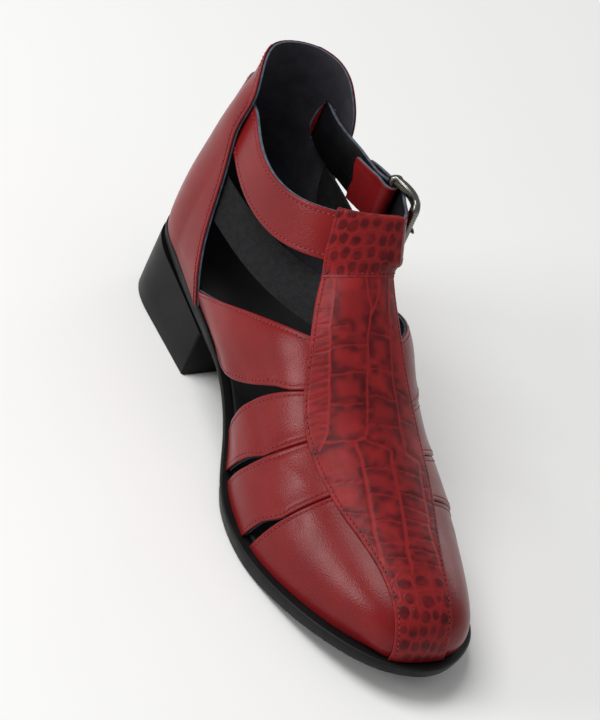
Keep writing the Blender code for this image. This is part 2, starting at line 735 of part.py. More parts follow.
class StrapPath:
    """Middle line of the ankle strap with its width and lean."""

    def __init__(self):
        self.table = np.array(STRAP)
        self.at = np.arange(len(STRAP), dtype=float)

    def frame(self, t):
        """Points, across (width) and outward directions, and widths at positions t."""
        t = np.atleast_1d(np.asarray(t, float))
        row = spline(self.at, self.table, t)
        p = to_xyz(row[:, :3])
        e = 1e-3
        ahead = to_xyz(spline(self.at, self.table, t + e)[:, :3])
        behind = to_xyz(spline(self.at, self.table, t - e)[:, :3])
        d = ahead - behind
        d /= np.linalg.norm(d, axis=1, keepdims=True)
        up = np.array([0.0, 0.0, 1.0])
        out = np.cross(d, up)
        out /= np.linalg.norm(out, axis=1, keepdims=True)
        across = np.cross(out, d)
        lean = np.radians(row[:, 4])[:, None]
        leant_across = across * np.cos(lean) - out * np.sin(lean)
        leant_out = out * np.cos(lean) + across * np.sin(lean)
        return p, leant_across, leant_out, row[:, 3]

    def sweep(self, t, profile, widen=0.0):
        """Rings of a profile carried along the strap: (outward, across) points, across a share of width."""
        p, across, out, width = self.frame(t)
        rings = []
        for k in range(len(p)):
            half = width[k] / 2.0 + widen
            rings.append(np.array([p[k] + out[k] * o + across[k] * half * w for o, w in profile]))
        return rings


PATH = StrapPath()


def band_profile(thick):
    """Flat band with eased corners."""
    h = thick / 2.0
    c = STRAP_EASE
    return ((-h, -0.97), (-h + c, -1.0), (h - c, -1.0), (h, -0.97),
            (h, 0.97), (h - c, 1.0), (-h + c, 1.0), (-h, 0.97))


def ankle_strap():
    """Strap from its folded end round the ankle to its tip."""
    m = Mesh()
    t = np.linspace(0.0, len(STRAP) - 1.0, (len(STRAP) - 1) * STRAP_STEPS + 1)
    m.loops(PATH.sweep(t, band_profile(STRAP_THICK)), True)
    return m


def slot_cutter(span):
    """Room the strap takes up where it passes through the counter."""
    m = Mesh()
    h = STRAP_THICK / 2.0 + GAP
    t = np.linspace(span[0], span[1], 9)
    m.loops(PATH.sweep(t, ((-h, -1.0), (h, -1.0), (h, 1.0), (-h, 1.0)), SLOT_SPARE), True)
    return m


def sleeve():
    """Folded top of the strip that the strap runs through."""
    t = np.linspace(SLEEVE_FROM, SLEEVE_TO, 13)
    p, across, out, width = PATH.frame(t)
    hole_o = STRAP_THICK / 2.0 + GAP
    rings = ([], [])
    for k in range(len(t)):
        half = width[k] / 2.0 + GAP + 0.1
        for layer, grow in enumerate((SLEEVE_WALL, 0.0)):
            o, w = hole_o + grow, half + grow
            ring = eased_box(o, w, SLEEVE_EASE if grow else GAP)
            rings[layer].append(np.array([p[k] + out[k] * a + across[k] * b for a, b in ring]))
    m = Mesh()
    outer = [m.add(r) for r in rings[0]]
    inner = [m.add(r) for r in rings[1]]
    for k in range(len(t) - 1):
        for i in range(8):
            j = (i + 1) % 8
            m.faces.append((outer[k] + i, outer[k] + j, outer[k + 1] + j, outer[k + 1] + i))
            m.faces.append((inner[k] + j, inner[k] + i, inner[k + 1] + i, inner[k + 1] + j))
    for k, flip in ((0, True), (len(t) - 1, False)):
        for i in range(8):
            j = (i + 1) % 8
            face = (outer[k] + i, outer[k] + j, inner[k] + j, inner[k] + i)
            m.faces.append(face[::-1] if flip else face)
    return m


def strip_grid(rows=34):
    """Points of the upper's surface under the strip, toe to ankle, between the strip's edges."""
    u = 0.1 + np.linspace(0.0, 1.0, rows + 1) ** 0.9 * (LAST.last_row - 0.1)
    q = np.linspace(0.0, 1.0, STRIP_COLUMNS + 1)
    lo, hi = LAST.column(u, 9), LAST.column(u, 10)
    uu = np.repeat(u[:, None], len(q), 1)
    return LAST.top_point(uu, lo[:, None] + (hi - lo)[:, None] * q)


def strip():
    """Strip lying along the upper from the toe to the seam under its sleeve."""
    g = to_xyz(strip_grid())
    n = grid_normals(g)
    if n[len(g) // 2, STRIP_COLUMNS // 2, 2] < 0.0:
        n = -n
    low = g + n * GAP
    high = g + n * (GAP + STRIP_THICK)
    t = np.linspace(SLEEVE_FROM, SLEEVE_TO, STRIP_COLUMNS + 1)
    p, across, out, width = PATH.frame(t)
    drop = (width / 2.0 + GAP + 0.1 + SLEEVE_WALL * 0.45)[:, None]
    seat = p - across * drop
    face = STRAP_THICK / 2.0 + GAP + SLEEVE_WALL
    low = np.concatenate([low, (seat + out * (face - 1.7))[None]])
    high = np.concatenate([high, (seat + out * (face - 0.5))[None]])
    m = Mesh()
    m.shell(high, low, np.ones((low.shape[0] - 1, low.shape[1] - 1), bool))
    return m


def elastic(side):
    """Elastic band from under the strip to inside the counter on one side."""
    count = 5
    share = np.linspace(0.0, 1.0, count)
    top_s, low_s, top_z, low_z, sag = ELASTICS[side]
    front = []
    for k in share:
        s = top_s + (low_s - top_s) * k
        u = np.array([LAST.row_at_edge(s, side)])
        x = LAST.column(u, 9 if side < 0 else 10) - side * ELASTIC_UNDER
        e = 0.02
        p = to_xyz(LAST.top_point(u, x))[0]
        du = to_xyz(LAST.top_point(u + e, x))[0] - to_xyz(LAST.top_point(u - e, x))[0]
        dx = to_xyz(LAST.top_point(u, x + e))[0] - to_xyz(LAST.top_point(u, x - e))[0]
        n = np.cross(du, dx)
        n /= np.linalg.norm(n)
        front.append(p - (n if n[2] > 0 else -n) * (UPPER_WALL + GAP + ELASTIC_THICK / 2.0))
    rear = []
    for k in share:
        z = top_z + (low_z - top_z) * k
        s = CUP.row(z)[5 if side < 0 else 6] - ELASTIC_BEHIND
        x = CUP.half(np.array(z), side, s) - side * (COUNTER_WALL + GAP + 0.2 + ELASTIC_THICK / 2.0)
        rear.append(to_xyz([s, x, z]))
    front = np.array(front)
    rear = np.array(rear)
    grid = []
    for k in np.linspace(0.0, 1.0, 11):
        swing = np.array([side * ELASTIC_BOW, 0.0, -sag]) * math.sin(math.pi * k)
        grid.append(front + (rear - front) * k + swing)
    g = np.array(grid)
    n = grid_normals(g)
    m = Mesh()
    h = ELASTIC_THICK / 2.0
    m.shell(g + n * h, g - n * h, np.ones((g.shape[0] - 1, g.shape[1] - 1), bool))
    return m


def keeper():
    """Small leather loop over the strap at the back of the heel cup."""
    near = -(STRAP_THICK / 2.0 + 0.1)
    lift = STRAP_THICK / 2.0 + GAP
    wall = KEEPER_WALL
    t = np.linspace(KEEPER_FROM, KEEPER_TO, 5)
    p, across, out, width = PATH.frame(t)
    rings = []
    for k in range(len(t)):
        w = width[k] / 2.0 + GAP
        profile = ((near, -w), (lift, -w), (lift, w), (near, w), (near, w + wall),
                   (lift + wall, w + wall), (lift + wall, -w - wall), (near, -w - wall))
        rings.append(np.array([p[k] + out[k] * a + across[k] * b for a, b in profile]))
    m = Mesh()
    m.loops(rings, True)
    return m


def eased_box(a, b, ease):
    """Rectangle of half sizes a and b with its corners cut by ease, as a ring of points."""
    return ((-a, -b + ease), (-a + ease, -b), (a - ease, -b), (a, -b + ease),
            (a, b - ease), (a - ease, b), (-a + ease, b), (-a, b - ease))


def buckle_ring():
    """Frame of the buckle: stout bowed bars on three sides, thinned where the strap is folded round it."""
    r = BUCKLE_CORNER
    steps = 5
    (rear_s, rear_x), (front_s, front_x) = BUCKLE_REAR, BUCKLE_FRONT
    mid_s, mid_x = (rear_s + front_s) / 2.0, (rear_x + front_x) / 2.0
    half_long = (front_s - rear_s) / 2.0
    half_tall = BUCKLE_TALL / 2.0 - BUCKLE_BAR / 2.0
    path = []
    for qs, qz, start in ((1, 1, 0), (-1, 1, 1), (-1, -1, 2), (1, -1, 3)):
        for k in range(steps):
            a = (start + k / (steps - 1.0)) * math.pi / 2.0
            ds, dz = math.cos(a), math.sin(a)
            path.append((qs * (half_long - r) + r * ds, qz * (half_tall - r) + r * dz, ds, dz))
        if start in (0, 2):
            for share in (0.5, 0.0, -0.5):
                path.append((qs * (half_long - r) * share, qz * half_tall, 0.0, qz))
    rings = []
    for s, z, ds, dz in path:
        thin = max(-ds, 0.0)
        wide = BUCKLE_BAR / 2.0 + (BUCKLE_PIN_R - BUCKLE_BAR / 2.0) * thin
        deep = BUCKLE_DEEP / 2.0 + (BUCKLE_PIN_R - BUCKLE_DEEP / 2.0) * thin
        profile = eased_box(wide, deep, BUCKLE_EASE + (PIN_EASE - BUCKLE_EASE) * thin)
        along = s / half_long
        x = mid_x + (front_x - mid_x) * along + BUCKLE_BOW * (1.0 - along**2)
        rings.append(to_xyz([(mid_s + s + ds * a, x + o, BUCKLE_Z + z + dz * a) for a, o in profile]))
    m = Mesh()
    m.loops(rings, False)
    return m


def prong():
    """Prong lying from the strap's hole over the buckle's front bar."""
    rings = []
    for s, x, tall in PRONG:
        ring = eased_box(tall / 2.0, PRONG_DEEP / 2.0, PRONG_EASE)
        rings.append(to_xyz([(s, x + b, BUCKLE_Z + a) for a, b in ring]))
    m = Mesh()
    m.loops(rings, True)
    return m


def material(name, colour, rough, metal=0.0):
    """Plain Principled material."""
    mat = bpy.data.materials.new(name)
    mat.use_nodes = True
    shader = next(n for n in mat.node_tree.nodes if n.type == "BSDF_PRINCIPLED")
    shader.inputs["Base Color"].default_value = (*colour, 1.0)
    shader.inputs["Roughness"].default_value = rough
    shader.inputs["Metallic"].default_value = metal
    return mat


def solid(name, mesh, mat, shift):
    """Object from a gathered mesh, welded, facing outwards, in metres."""
    data = bpy.data.meshes.new(name)
    verts = (np.array(mesh.verts) + shift) * MM
    data.from_pydata([tuple(v) for v in verts], [], mesh.faces)
    bm = bmesh.new()
    bm.from_mesh(data)
    bmesh.ops.remove_doubles(bm, verts=bm.verts, dist=1e-6)
    bmesh.ops.dissolve_degenerate(bm, edges=bm.edges, dist=1e-6)
    bmesh.ops.triangulate(bm, faces=bm.faces)
    bmesh.ops.recalc_face_normals(bm, faces=bm.faces)
    bm.to_mesh(data)
    bm.free()
    obj = bpy.data.objects.new(name, data)
    bpy.context.scene.collection.objects.link(obj)
    if mat is not None:
        data.materials.append(mat)
    return obj


def combine(obj, others, how):
    """Join or cut with helper objects, which stay hidden."""
    for k, other in enumerate(others):
        other.hide_render = True
        other.display_type = "WIRE"
        mod = obj.modifiers.new("%s %d" % (how.lower(), k), "BOOLEAN")
        mod.operation = how
        mod.solver = "EXACT"
        mod.object = other


def main():
    """Build every piece of the shoe and stand it with its box centred over the origin."""
    for obj in list(bpy.data.objects):
        bpy.data.objects.remove(obj, do_unlink=True)
    red = material("Red smooth leather", (0.25, 0.025, 0.03), 0.42)
    croc = material("Red embossed leather", (0.27, 0.02, 0.025), 0.36)
    sole_black = material("Black sole", (0.012, 0.012, 0.013), 0.45)
    heel_black = material("Black heel", (0.012, 0.012, 0.013), 0.4)
    lining = material("Black insole leather", (0.015, 0.015, 0.016), 0.8)
    web = material("Black elastic", (0.014, 0.014, 0.015), 0.85)
    metal = material("Dark metal", (0.12, 0.12, 0.12), 0.3, 1.0)

    sole_mesh = outsole()
    strap_mesh = ankle_strap()
    frame_mesh = buckle_ring()
    outer = (sole_mesh, heel(), upper_front(), strap_mesh, keeper(), frame_mesh)
    pieces = np.concatenate([np.array(m.verts) for m in outer])
    lo, hi = pieces.min(0), pieces.max(0)
    shift = np.array([-(lo[0] + hi[0]) / 2.0, -(lo[1] + hi[1]) / 2.0, -lo[2]])

    solid("outsole", sole_mesh, sole_black, shift)
    solid("heel", heel(), heel_black, shift)
    solid("insole", insole(), lining, shift)
    upper = solid("upper", upper_front(), red, shift)
    cup = solid("upper.counter_form", counter(), None, shift)
    slots = [solid("upper.slot_form_%d" % k, slot_cutter(s), None, shift)
             for k, s in enumerate((OUTER_SLOT, INNER_SLOT))]
    combine(upper, [cup], "UNION")
    combine(upper, slots, "DIFFERENCE")
    band = solid("instep_strip", strip(), croc, shift)
    combine(band, [solid("instep_strip.sleeve_form", sleeve(), None, shift)], "UNION")
    solid("elastic_inner", elastic(-1), web, shift)
    solid("elastic_outer", elastic(1), web, shift)
    solid("ankle_strap", strap_mesh, red, shift)
    solid("heel_loop", keeper(), red, shift)
    solid("buckle_frame", frame_mesh, metal, shift)
    solid("buckle_prong", prong(), metal, shift)


main()
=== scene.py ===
"""Looks of a women's red leather cut-out sandal, the left shoe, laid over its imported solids.

Sizes are millimetres. Along the shoe, s runs forward from the heel's back to the toe; x points to the
outer (lateral) side; z is up from the floor. In the room the toe lies at -Y and the outer side at +X.
"""
import logging
import math
from contextlib import contextmanager
from dataclasses import dataclass, field
from enum import Enum
from typing import Dict, Iterator, List, Optional, Sequence, Tuple

import bpy
import numpy as np
from mathutils import Matrix, Vector


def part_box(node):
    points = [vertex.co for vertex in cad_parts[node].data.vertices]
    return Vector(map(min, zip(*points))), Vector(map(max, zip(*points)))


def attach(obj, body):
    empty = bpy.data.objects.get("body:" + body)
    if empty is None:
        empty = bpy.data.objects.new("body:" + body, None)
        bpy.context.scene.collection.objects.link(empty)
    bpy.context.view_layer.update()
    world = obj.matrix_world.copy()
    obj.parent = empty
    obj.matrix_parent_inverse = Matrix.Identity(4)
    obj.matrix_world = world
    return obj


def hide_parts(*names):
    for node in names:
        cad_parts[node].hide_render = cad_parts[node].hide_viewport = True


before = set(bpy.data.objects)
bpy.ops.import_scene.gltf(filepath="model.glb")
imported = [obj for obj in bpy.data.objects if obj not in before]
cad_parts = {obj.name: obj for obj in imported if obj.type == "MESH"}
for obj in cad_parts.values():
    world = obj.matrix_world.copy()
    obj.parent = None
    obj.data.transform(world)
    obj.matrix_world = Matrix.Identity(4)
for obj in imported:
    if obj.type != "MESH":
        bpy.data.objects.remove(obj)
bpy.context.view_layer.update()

Array = np.ndarray
Table = Tuple[Tuple[float, ...], ...]
Object = bpy.types.Object
Material = bpy.types.Material

LOG = logging.getLogger("sandal")
MM = 0.001
WELD = 1e-6
# Step either side of a place at which a curve's direction is read
NUDGE = 1e-3
SEED = 11
NOISE_KNOTS = 64
# Points at which a curve is read to find a place on it
SAMPLES = 400
OUTLINE_SAMPLES = 1200
# Far further than any place on a sheet
FAR = 1e3
UP = (0.0, 0.0, 1.0)

# Clearances and walls that the solids have
GAP = 0.3
UPPER_WALL = 1.7
COUNTER_WALL = 1.9
STRIP_THICK = 1.2
ELASTIC_THICK = 1.2
STRAP_THICK = 2.0
SLEEVE_WALL = 1.3

# Feather line, where the upper meets the sole: s, inner side x, outer side x, welt left outside it
FEATHER: Table = (
    (8.0, -18.2, 24.2, 1.2),
    (20.0, -23.2, 29.2, 1.2),
    (40.0, -24.8, 30.7, 1.2),
    (60.0, -25.3, 31.2, 1.2),
    (86.0, -26.2, 32.0, 1.3),
    (104.0, -28.4, 33.2, 1.5),
    (121.0, -32.6, 35.2, 1.9),
    (138.0, -38.4, 38.0, 2.6),
    (156.0, -43.0, 40.2, 3.2),
    (176.0, -44.6, 40.8, 3.4),
    (195.0, -41.9, 38.9, 3.8),
    (212.0, -37.3, 35.5, 4.4),
    (227.0, -31.8, 30.9, 4.8),
    (240.0, -25.0, 24.0, 5.2),
    (249.0, -17.6, 14.6, 5.6),
    (253.6, -9.6, 6.2, 6.0),
)
# Hindmost and foremost points of the feather line: s, x, welt
FEATHER_BACK = (0.4, 3.0, 1.2)
FEATHER_TOE = (255.2, -1.6, 6.2)

# Sole profile: s, height of the sole's top, height of its underside, tuck of the underside's edge
SOLE_PROFILE: Table = (
    (-4.0, 37.8, 31.8, 0.4),
    (20.0, 36.2, 30.2, 0.4),
    (40.0, 34.2, 28.0, 0.4),
    (60.0, 31.9, 25.4, 0.6),
    (75.0, 29.6, 22.9, 1.4),
    (88.0, 26.8, 19.9, 2.6),
    (100.0, 23.4, 16.3, 3.2),
    (112.0, 19.0, 11.8, 3.0),
    (122.0, 14.9, 7.6, 2.4),
    (132.0, 11.0, 3.6, 1.8),
    (141.0, 8.4, 1.0, 1.2),
    (150.0, 7.2, 0.0, 0.9),
    (166.0, 7.0, 0.0, 0.8),
    (182.0, 7.2, 0.0, 0.8),
    (194.0, 7.9, 0.8, 0.8),
    (210.0, 9.8, 3.0, 0.8),
    (226.0, 12.2, 5.7, 0.8),
    (242.0, 14.9, 8.7, 0.8),
    (262.0, 18.2, 12.6, 0.8),
)

# Last sections from toe to ankle, each an arch from the inner feather over the crest to the outer one.
# Columns: crest s, x, z; feather s inner, outer; fullness inner, outer; swell past the feather inner,
# outer; x of the strip's edge inner, outer
SECTIONS: Table = (
    (255.2, -2.2, 17.3, 247.6, 246.6, 2.2, 2.2, 0.0, 0.0, -16.6, 8.0),
    (255.4, -2.6, 25.0, 243.0, 242.0, 2.6, 2.3, 0.0, 0.0, -17.5, 6.2),
    (251.4, -2.8, 34.4, 237.4, 236.4, 2.6, 2.2, 0.0, 0.0, -18.1, 6.6),
    (242.8, -3.0, 40.4, 228.8, 227.8, 2.4, 2.1, 0.0, 0.0, -18.1, 8.0),
    (228.0, -3.0, 45.4, 214.0, 213.0, 2.1, 2.0, 0.2, 1.0, -19.0, 10.2),
    (210.0, -3.0, 50.0, 196.0, 194.0, 2.0, 1.9, 0.6, 3.6, -22.7, 14.8),
    (193.0, -3.0, 55.6, 175.0, 172.0, 2.0, 1.9, 1.2, 6.6, -27.0, 18.8),
    (172.0, -2.8, 64.4, 141.0, 137.0, 2.2, 2.0, 5.0, 9.6, -29.1, 20.4),
    (154.0, -2.4, 74.8, 107.0, 103.0, 2.6, 2.2, 10.2, 12.2, -27.0, 18.8),
    (139.0, -1.6, 84.8, 76.0, 74.0, 2.7, 2.4, 13.5, 14.6, -23.4, 17.4),
    (126.0, 1.0, 93.0, 54.0, 52.0, 2.6, 2.4, 10.5, 10.5, -18.4, 18.2),
    (114.6, 5.0, 99.0, 42.0, 40.0, 2.4, 2.5, 8.0, 8.0, -12.6, 19.4),
)
SWELL_RISE = 0.45

# Counter: height, back s, inner x and outer x at the widest, roundness of the plan, spread of the
# sides towards the front, front edge s on the inner and on the outer side
COUNTER: Table = (
    (30.0, 0.0, -24.8, 30.8, 2.50, 0.05, 61.0, 59.5),
    (36.0, -0.4, -25.3, 31.3, 2.48, 0.11, 59.0, 57.8),
    (42.0, -0.8, -25.7, 31.7, 2.45, 0.15, 56.6, 55.6),
    (54.0, -1.0, -25.7, 31.7, 2.42, 0.15, 48.6, 48.6),
    (66.0, -0.6, -25.1, 31.1, 2.38, 0.10, 42.4, 43.4),
    (80.0, 0.8, -24.0, 30.2, 2.30, 0.06, 37.6, 39.8),
    (94.0, 2.4, -23.2, 29.6, 2.20, 0.04, 33.0, 39.4),
    (106.0, 4.2, -22.2, 29.2, 2.08, 0.04, 29.6, 39.6),
    (116.0, 5.4, -19.8, 28.6, 2.02, 0.04, 28.4, 37.6),
    (121.0, 5.8, -18.2, 28.1, 2.00, 0.04, 26.4, 35.0),
    (125.0, 5.9, -17.3, 27.7, 2.00, 0.04, 23.4, 31.4),
    (128.5, 5.9, -16.8, 27.3, 2.00, 0.04, 19.8, 26.8),
    (131.2, 5.8, -16.5, 27.0, 2.00, 0.04, 15.8, 21.2),
    (133.0, 5.7, -16.4, 26.8, 2.00, 0.04, 11.6, 14.8),
    (133.8, 5.6, -16.4, 26.6, 2.00, 0.04, 8.4, 9.8),
)

# Ankle strap's middle line from its folded end, round the buckle's bar and the heel, through the sleeve
# and under the buckle to its tip: s, x, z, width, lean of the top towards the ankle in degrees
STRAP: Table = (
    (57.0, 24.4, 101.2, 19.6, 0.0),
    (64.0, 24.8, 102.6, 19.6, 0.0),
    (70.0, 25.0, 104.0, 19.6, 0.0),
    (75.0, 24.6, 105.4, 19.6, 0.0),
    (78.6, 24.9, 106.2, 19.6, 0.0),
    (80.0, 27.0, 106.2, 19.6, 0.0),
    (78.6, 29.1, 106.2, 19.6, 0.0),
    (75.0, 29.3, 105.4, 19.6, 0.0),
    (69.5, 27.9, 104.0, 19.6, 0.0),
    (61.0, 27.6, 102.2, 20.0, 0.0),
    (50.0, 27.6, 100.6, 21.0, 0.0),
    (38.0, 26.3, 100.0, 21.0, 2.0),
    (29.0, 25.7, 100.0, 21.0, 2.0),
    (22.0, 26.0, 100.4, 21.0, 2.0),
    (15.0, 26.3, 101.0, 21.0, 4.0),
    (8.6, 21.9, 102.4, 21.0, 7.0),
    (4.0, 13.8, 103.4, 21.0, 8.0),
    (2.4, 4.6, 104.0, 21.0, 8.0),
    (3.5, -5.4, 104.4, 21.0, 8.0),
    (9.1, -11.3, 104.8, 21.0, 8.0),
    (16.2, -14.6, 105.2, 21.0, 9.0),
    (23.2, -17.0, 105.4, 21.0, 9.0),
    (30.0, -17.9, 105.2, 21.0, 9.0),
    (40.0, -20.2, 103.6, 21.0, 6.0),
    (52.0, -22.0, 101.2, 21.0, 4.0),
    (66.0, -22.2, 100.4, 21.0, 5.0),
    (80.0, -20.4, 102.2, 21.0, 10.0),
    (91.0, -16.4, 105.4, 21.0, 18.0),
    (99.4, -10.0, 108.4, 21.0, 26.0),
    (104.4, -2.0, 109.6, 21.0, 30.0),
    (106.8, 6.6, 110.0, 21.0, 32.0),
    (107.4, 15.0, 109.6, 21.0, 30.0),
    (105.6, 21.6, 108.8, 20.6, 22.0),
    (101.0, 24.8, 107.6, 20.0, 10.0),
    (95.0, 26.4, 106.8, 19.6, 0.0),
    (88.0, 28.8, 106.4, 19.6, 0.0),
    (79.4, 31.7, 106.2, 19.6, 0.0),
    (72.0, 31.0, 105.0, 19.6, 0.0),
    (65.0, 30.3, 103.4, 19.4, 0.0),
    (56.0, 30.0, 101.8, 16.5, 0.0),
    (52.6, 30.0, 101.4, 11.0, 0.0),
)


class Side(Enum):
    """Side of the shoe; the value is the sign of x."""

    INNER = -1
    OUTER = 1


def spline(xs: Sequence[float], ys: Array, at: Array) -> Array:
    """Natural cubic spline.

    Args:
        xs: rising positions of the knots.
        ys: knot values, one column or several.
        at: positions to read.

    Returns:
        Values at those positions.
    """
    xs, ys, at = (np.asarray(v, float) for v in (xs, ys, at))
    n = len(xs)
    h = np.diff(xs)
    a = np.eye(n)
    b = np.zeros(ys.shape)
    d = (ys[1:] - ys[:-1]) / (h if ys.ndim == 1 else h[:, None])
    for i in range(1, n - 1):
        a[i, i - 1 : i + 2] = h[i - 1], 2.0 * (h[i - 1] + h[i]), h[i]
        b[i] = 6.0 * (d[i] - d[i - 1])
    m = np.linalg.solve(a, b)
    k = np.clip(np.searchsorted(xs, at) - 1, 0, n - 2)
    t, hk = at - xs[k], h[k]
    if ys.ndim > 1:
        t, hk = t[..., None], hk[..., None]
    c1 = d[k] - hk * (2.0 * m[k] + m[k + 1]) / 6.0
    return ys[k] + t * (c1 + t * (m[k] / 2.0 + t * (m[k + 1] - m[k]) / (6.0 * hk)))


def to_room(p: Array) -> Array:
    """Shoe coordinates (s, x, z) to room axes, still in millimetres."""
    p = np.asarray(p, float)
    return np.stack([p[..., 1], -p[..., 0], p[..., 2]], -1)


def unit(v: Array) -> Array:
    """Vectors scaled to length one."""
    return v / np.maximum(np.linalg.norm(v, axis=-1, keepdims=True), 1e-9)


def grid_normals(g: Array, outward: Sequence[float]) -> Array:
    """Unit normals of a grid of points.

    Args:
        g: points, rows by columns by 3.
        outward: rough direction that the grid's middle faces.

    Returns:
        Normals, turned to that direction.
    """
    n = unit(np.cross(np.gradient(g, axis=0), np.gradient(g, axis=1)))
    middle = n[n.shape[0] // 2, n.shape[1] // 2]
    return n if np.dot(middle, outward) > 0.0 else -n


def level_normals(g: Array) -> Array:
    """Level unit normals of a wall whose rows lie level, turned so that its middle faces the heel's back.

    Args:
        g: grid of points, a level row after the other.

    Returns:
        One normal per point.
    """
    along = np.gradient(g, axis=1)
    n = unit(np.stack([along[..., 1], -along[..., 0], np.zeros(g.shape[:2])], -1))
    return n if n[0, g.shape[1] // 2, 1] > 0.0 else -n


def run_along(p: Array, axis: int = 0) -> Array:
    """Length run from the first point along an axis of a grid of points.

    Args:
        p: grid of points.
        axis: axis of the grid to run along.

    Returns:
        Length at every point.
    """
    steps = np.linalg.norm(np.diff(p, axis=axis), axis=-1)
    start = np.zeros_like(np.take(steps, [0], axis=axis))
    return np.concatenate([start, np.cumsum(steps, axis=axis)], axis=axis)


def read_along(run: Array, values: Array, at: Array) -> Array:
    """Vectors known along a path, read at lengths along it."""
    return np.stack([np.interp(at, run, values[:, c]) for c in range(3)], -1)


def smooth(k: Array, lo: float = 0.0, hi: float = 1.0) -> Array:
    """Smooth step from 0 at lo to 1 at hi."""
    t = np.clip((np.asarray(k, float) - lo) / (hi - lo), 0.0, 1.0)
    return t * t * (3.0 - 2.0 * t)


def edge_shares(count: int) -> Array:
    """Shares from 0 to 1 that lie ten times closer at both ends, where an edge rolls over."""
    k = np.linspace(0.0, 1.0, count + 1)
    return k - 0.9 * np.sin(2.0 * math.pi * k) / (2.0 * math.pi)


def value_noise(x: Array, y: Array, seed: int) -> Array:
    """Soft random field from 0 to 1 with one knot per unit of x and y.

    Args:
        x: first coordinate.
        y: second coordinate.
        seed: seed of the field.

    Returns:
        Value at every place.
    """
    knots = np.random.default_rng(seed).random((NOISE_KNOTS, NOISE_KNOTS))
    i, j = np.floor(x).astype(int), np.floor(y).astype(int)
    fx, fy = smooth(x - i), smooth(y - j)
    i, j, after_i, after_j = (v % NOISE_KNOTS for v in (i, j, i + 1, j + 1))
    a, b, c, d = knots[i, j], knots[after_i, j], knots[i, after_j], knots[after_i, after_j]
    return (a * (1 - fx) + b * fx) * (1 - fy) + (c * (1 - fx) + d * fx) * fy


@dataclass
class SoleShape:
    """Outline of the feather line and of the sole's edge, and the sole's profile."""

    rows: Table = FEATHER
    back: Tuple[float, ...] = FEATHER_BACK
    toe: Tuple[float, ...] = FEATHER_TOE
    profile: Table = SOLE_PROFILE
    flat: Tuple[float, float] = (150.0, 182.0)
    turn: int = 3

    def __post_init__(self) -> None:
        """Lay the closed outline through its table."""
        rows, back, toe = (np.array(v) for v in (self.rows, self.back, self.toe))
        inner = [back[:2]] + [r[[0, 1]] for r in rows] + [toe[:2]]
        outer = [back[:2]] + [r[[0, 2]] for r in rows] + [toe[:2]]
        welt = np.concatenate([[back[2]], rows[:, 3], [toe[2]]])
        loop = np.array(inner + outer[-2:0:-1])
        welts = np.concatenate([welt, welt[-2:0:-1]])
        turn = self.turn
        self.points = np.concatenate([loop[-turn:], loop, loop[: turn + 1]])
        self.welts = np.concatenate([welts[-turn:], welts, welts[: turn + 1]])
        steps = np.linalg.norm(np.diff(self.points, axis=0), axis=1)
        self.t = np.concatenate([[0.0], np.cumsum(np.sqrt(steps))])
        self.t -= self.t[turn]
        self.toe_t = self.t[turn + len(inner) - 1]
        self.end_t = self.t[turn + len(loop)]
        self.table = np.array(self.profile)
        self.side_t = {}
        for side, start in ((Side.INNER, 0.0), (Side.OUTER, self.end_t)):
            ts = np.linspace(start, self.toe_t, OUTLINE_SAMPLES)
            self.side_t[side] = (ts, spline(self.t, self.points[:, 0], ts))

    def column(self, s: Array, k: int) -> Array:
        """One column of the sole's profile at s."""
        return spline(self.table[:, 0], self.table[:, k], np.clip(s, self.table[0, 0], self.table[-1, 0]))

    def top(self, s: Array) -> Array:
        """Height of the sole's upper face."""
        return self.column(s, 1)

    def under(self, s: Array) -> Array:
        """Height of the sole's underside, flat on the floor under the ball.

        Args:
            s: place along the shoe.

        Returns:
            Height at s.
        """
        s = np.asarray(s, float)
        level = (s >= self.flat[0]) & (s <= self.flat[1])
        return np.maximum(np.where(level, 0.0, self.column(s, 2)), 0.0)

    def tuck(self, s: Array) -> Array:
        """How far the underside's edge is set in from the sole's side."""
        return np.maximum(self.column(s, 3), 0.3)

    def around(self, steps: int) -> Array:
        """Positions round the outline, back to toe on the inner side and back again on the outer side.

        Args:
            steps: steps on each side.

        Returns:
            The positions t.
        """
        a = np.linspace(0.0, 1.0, steps + 1)
        ease = a - 0.2 / math.pi * np.sin(2.0 * math.pi * a)
        return np.concatenate([self.toe_t * ease, (self.end_t + (self.toe_t - self.end_t) * ease)[-2::-1]])

    def at(self, t: Array, out: Array) -> Array:
        """Points (s, x) of the outline at t, moved outwards.

        Args:
            t: positions round the outline.
            out: distance outwards.

        Returns:
            One (s, x) per position.
        """
        p = spline(self.t, self.points, t)
        d = spline(self.t, self.points, t + NUDGE) - spline(self.t, self.points, t - NUDGE)
        return p + unit(np.stack([d[..., 1], -d[..., 0]], -1)) * np.asarray(out)[..., None]

    def welt(self, t: Array) -> Array:
        """Welt width left outside the feather at t."""
        return spline(self.t, self.welts, t)

    def feather(self, s: Array, side: Side) -> Array:
        """x of the feather at s on one side."""
        ts, ss = self.side_t[side]
        return spline(self.t, self.points[:, 1], np.interp(s, ss, ts))


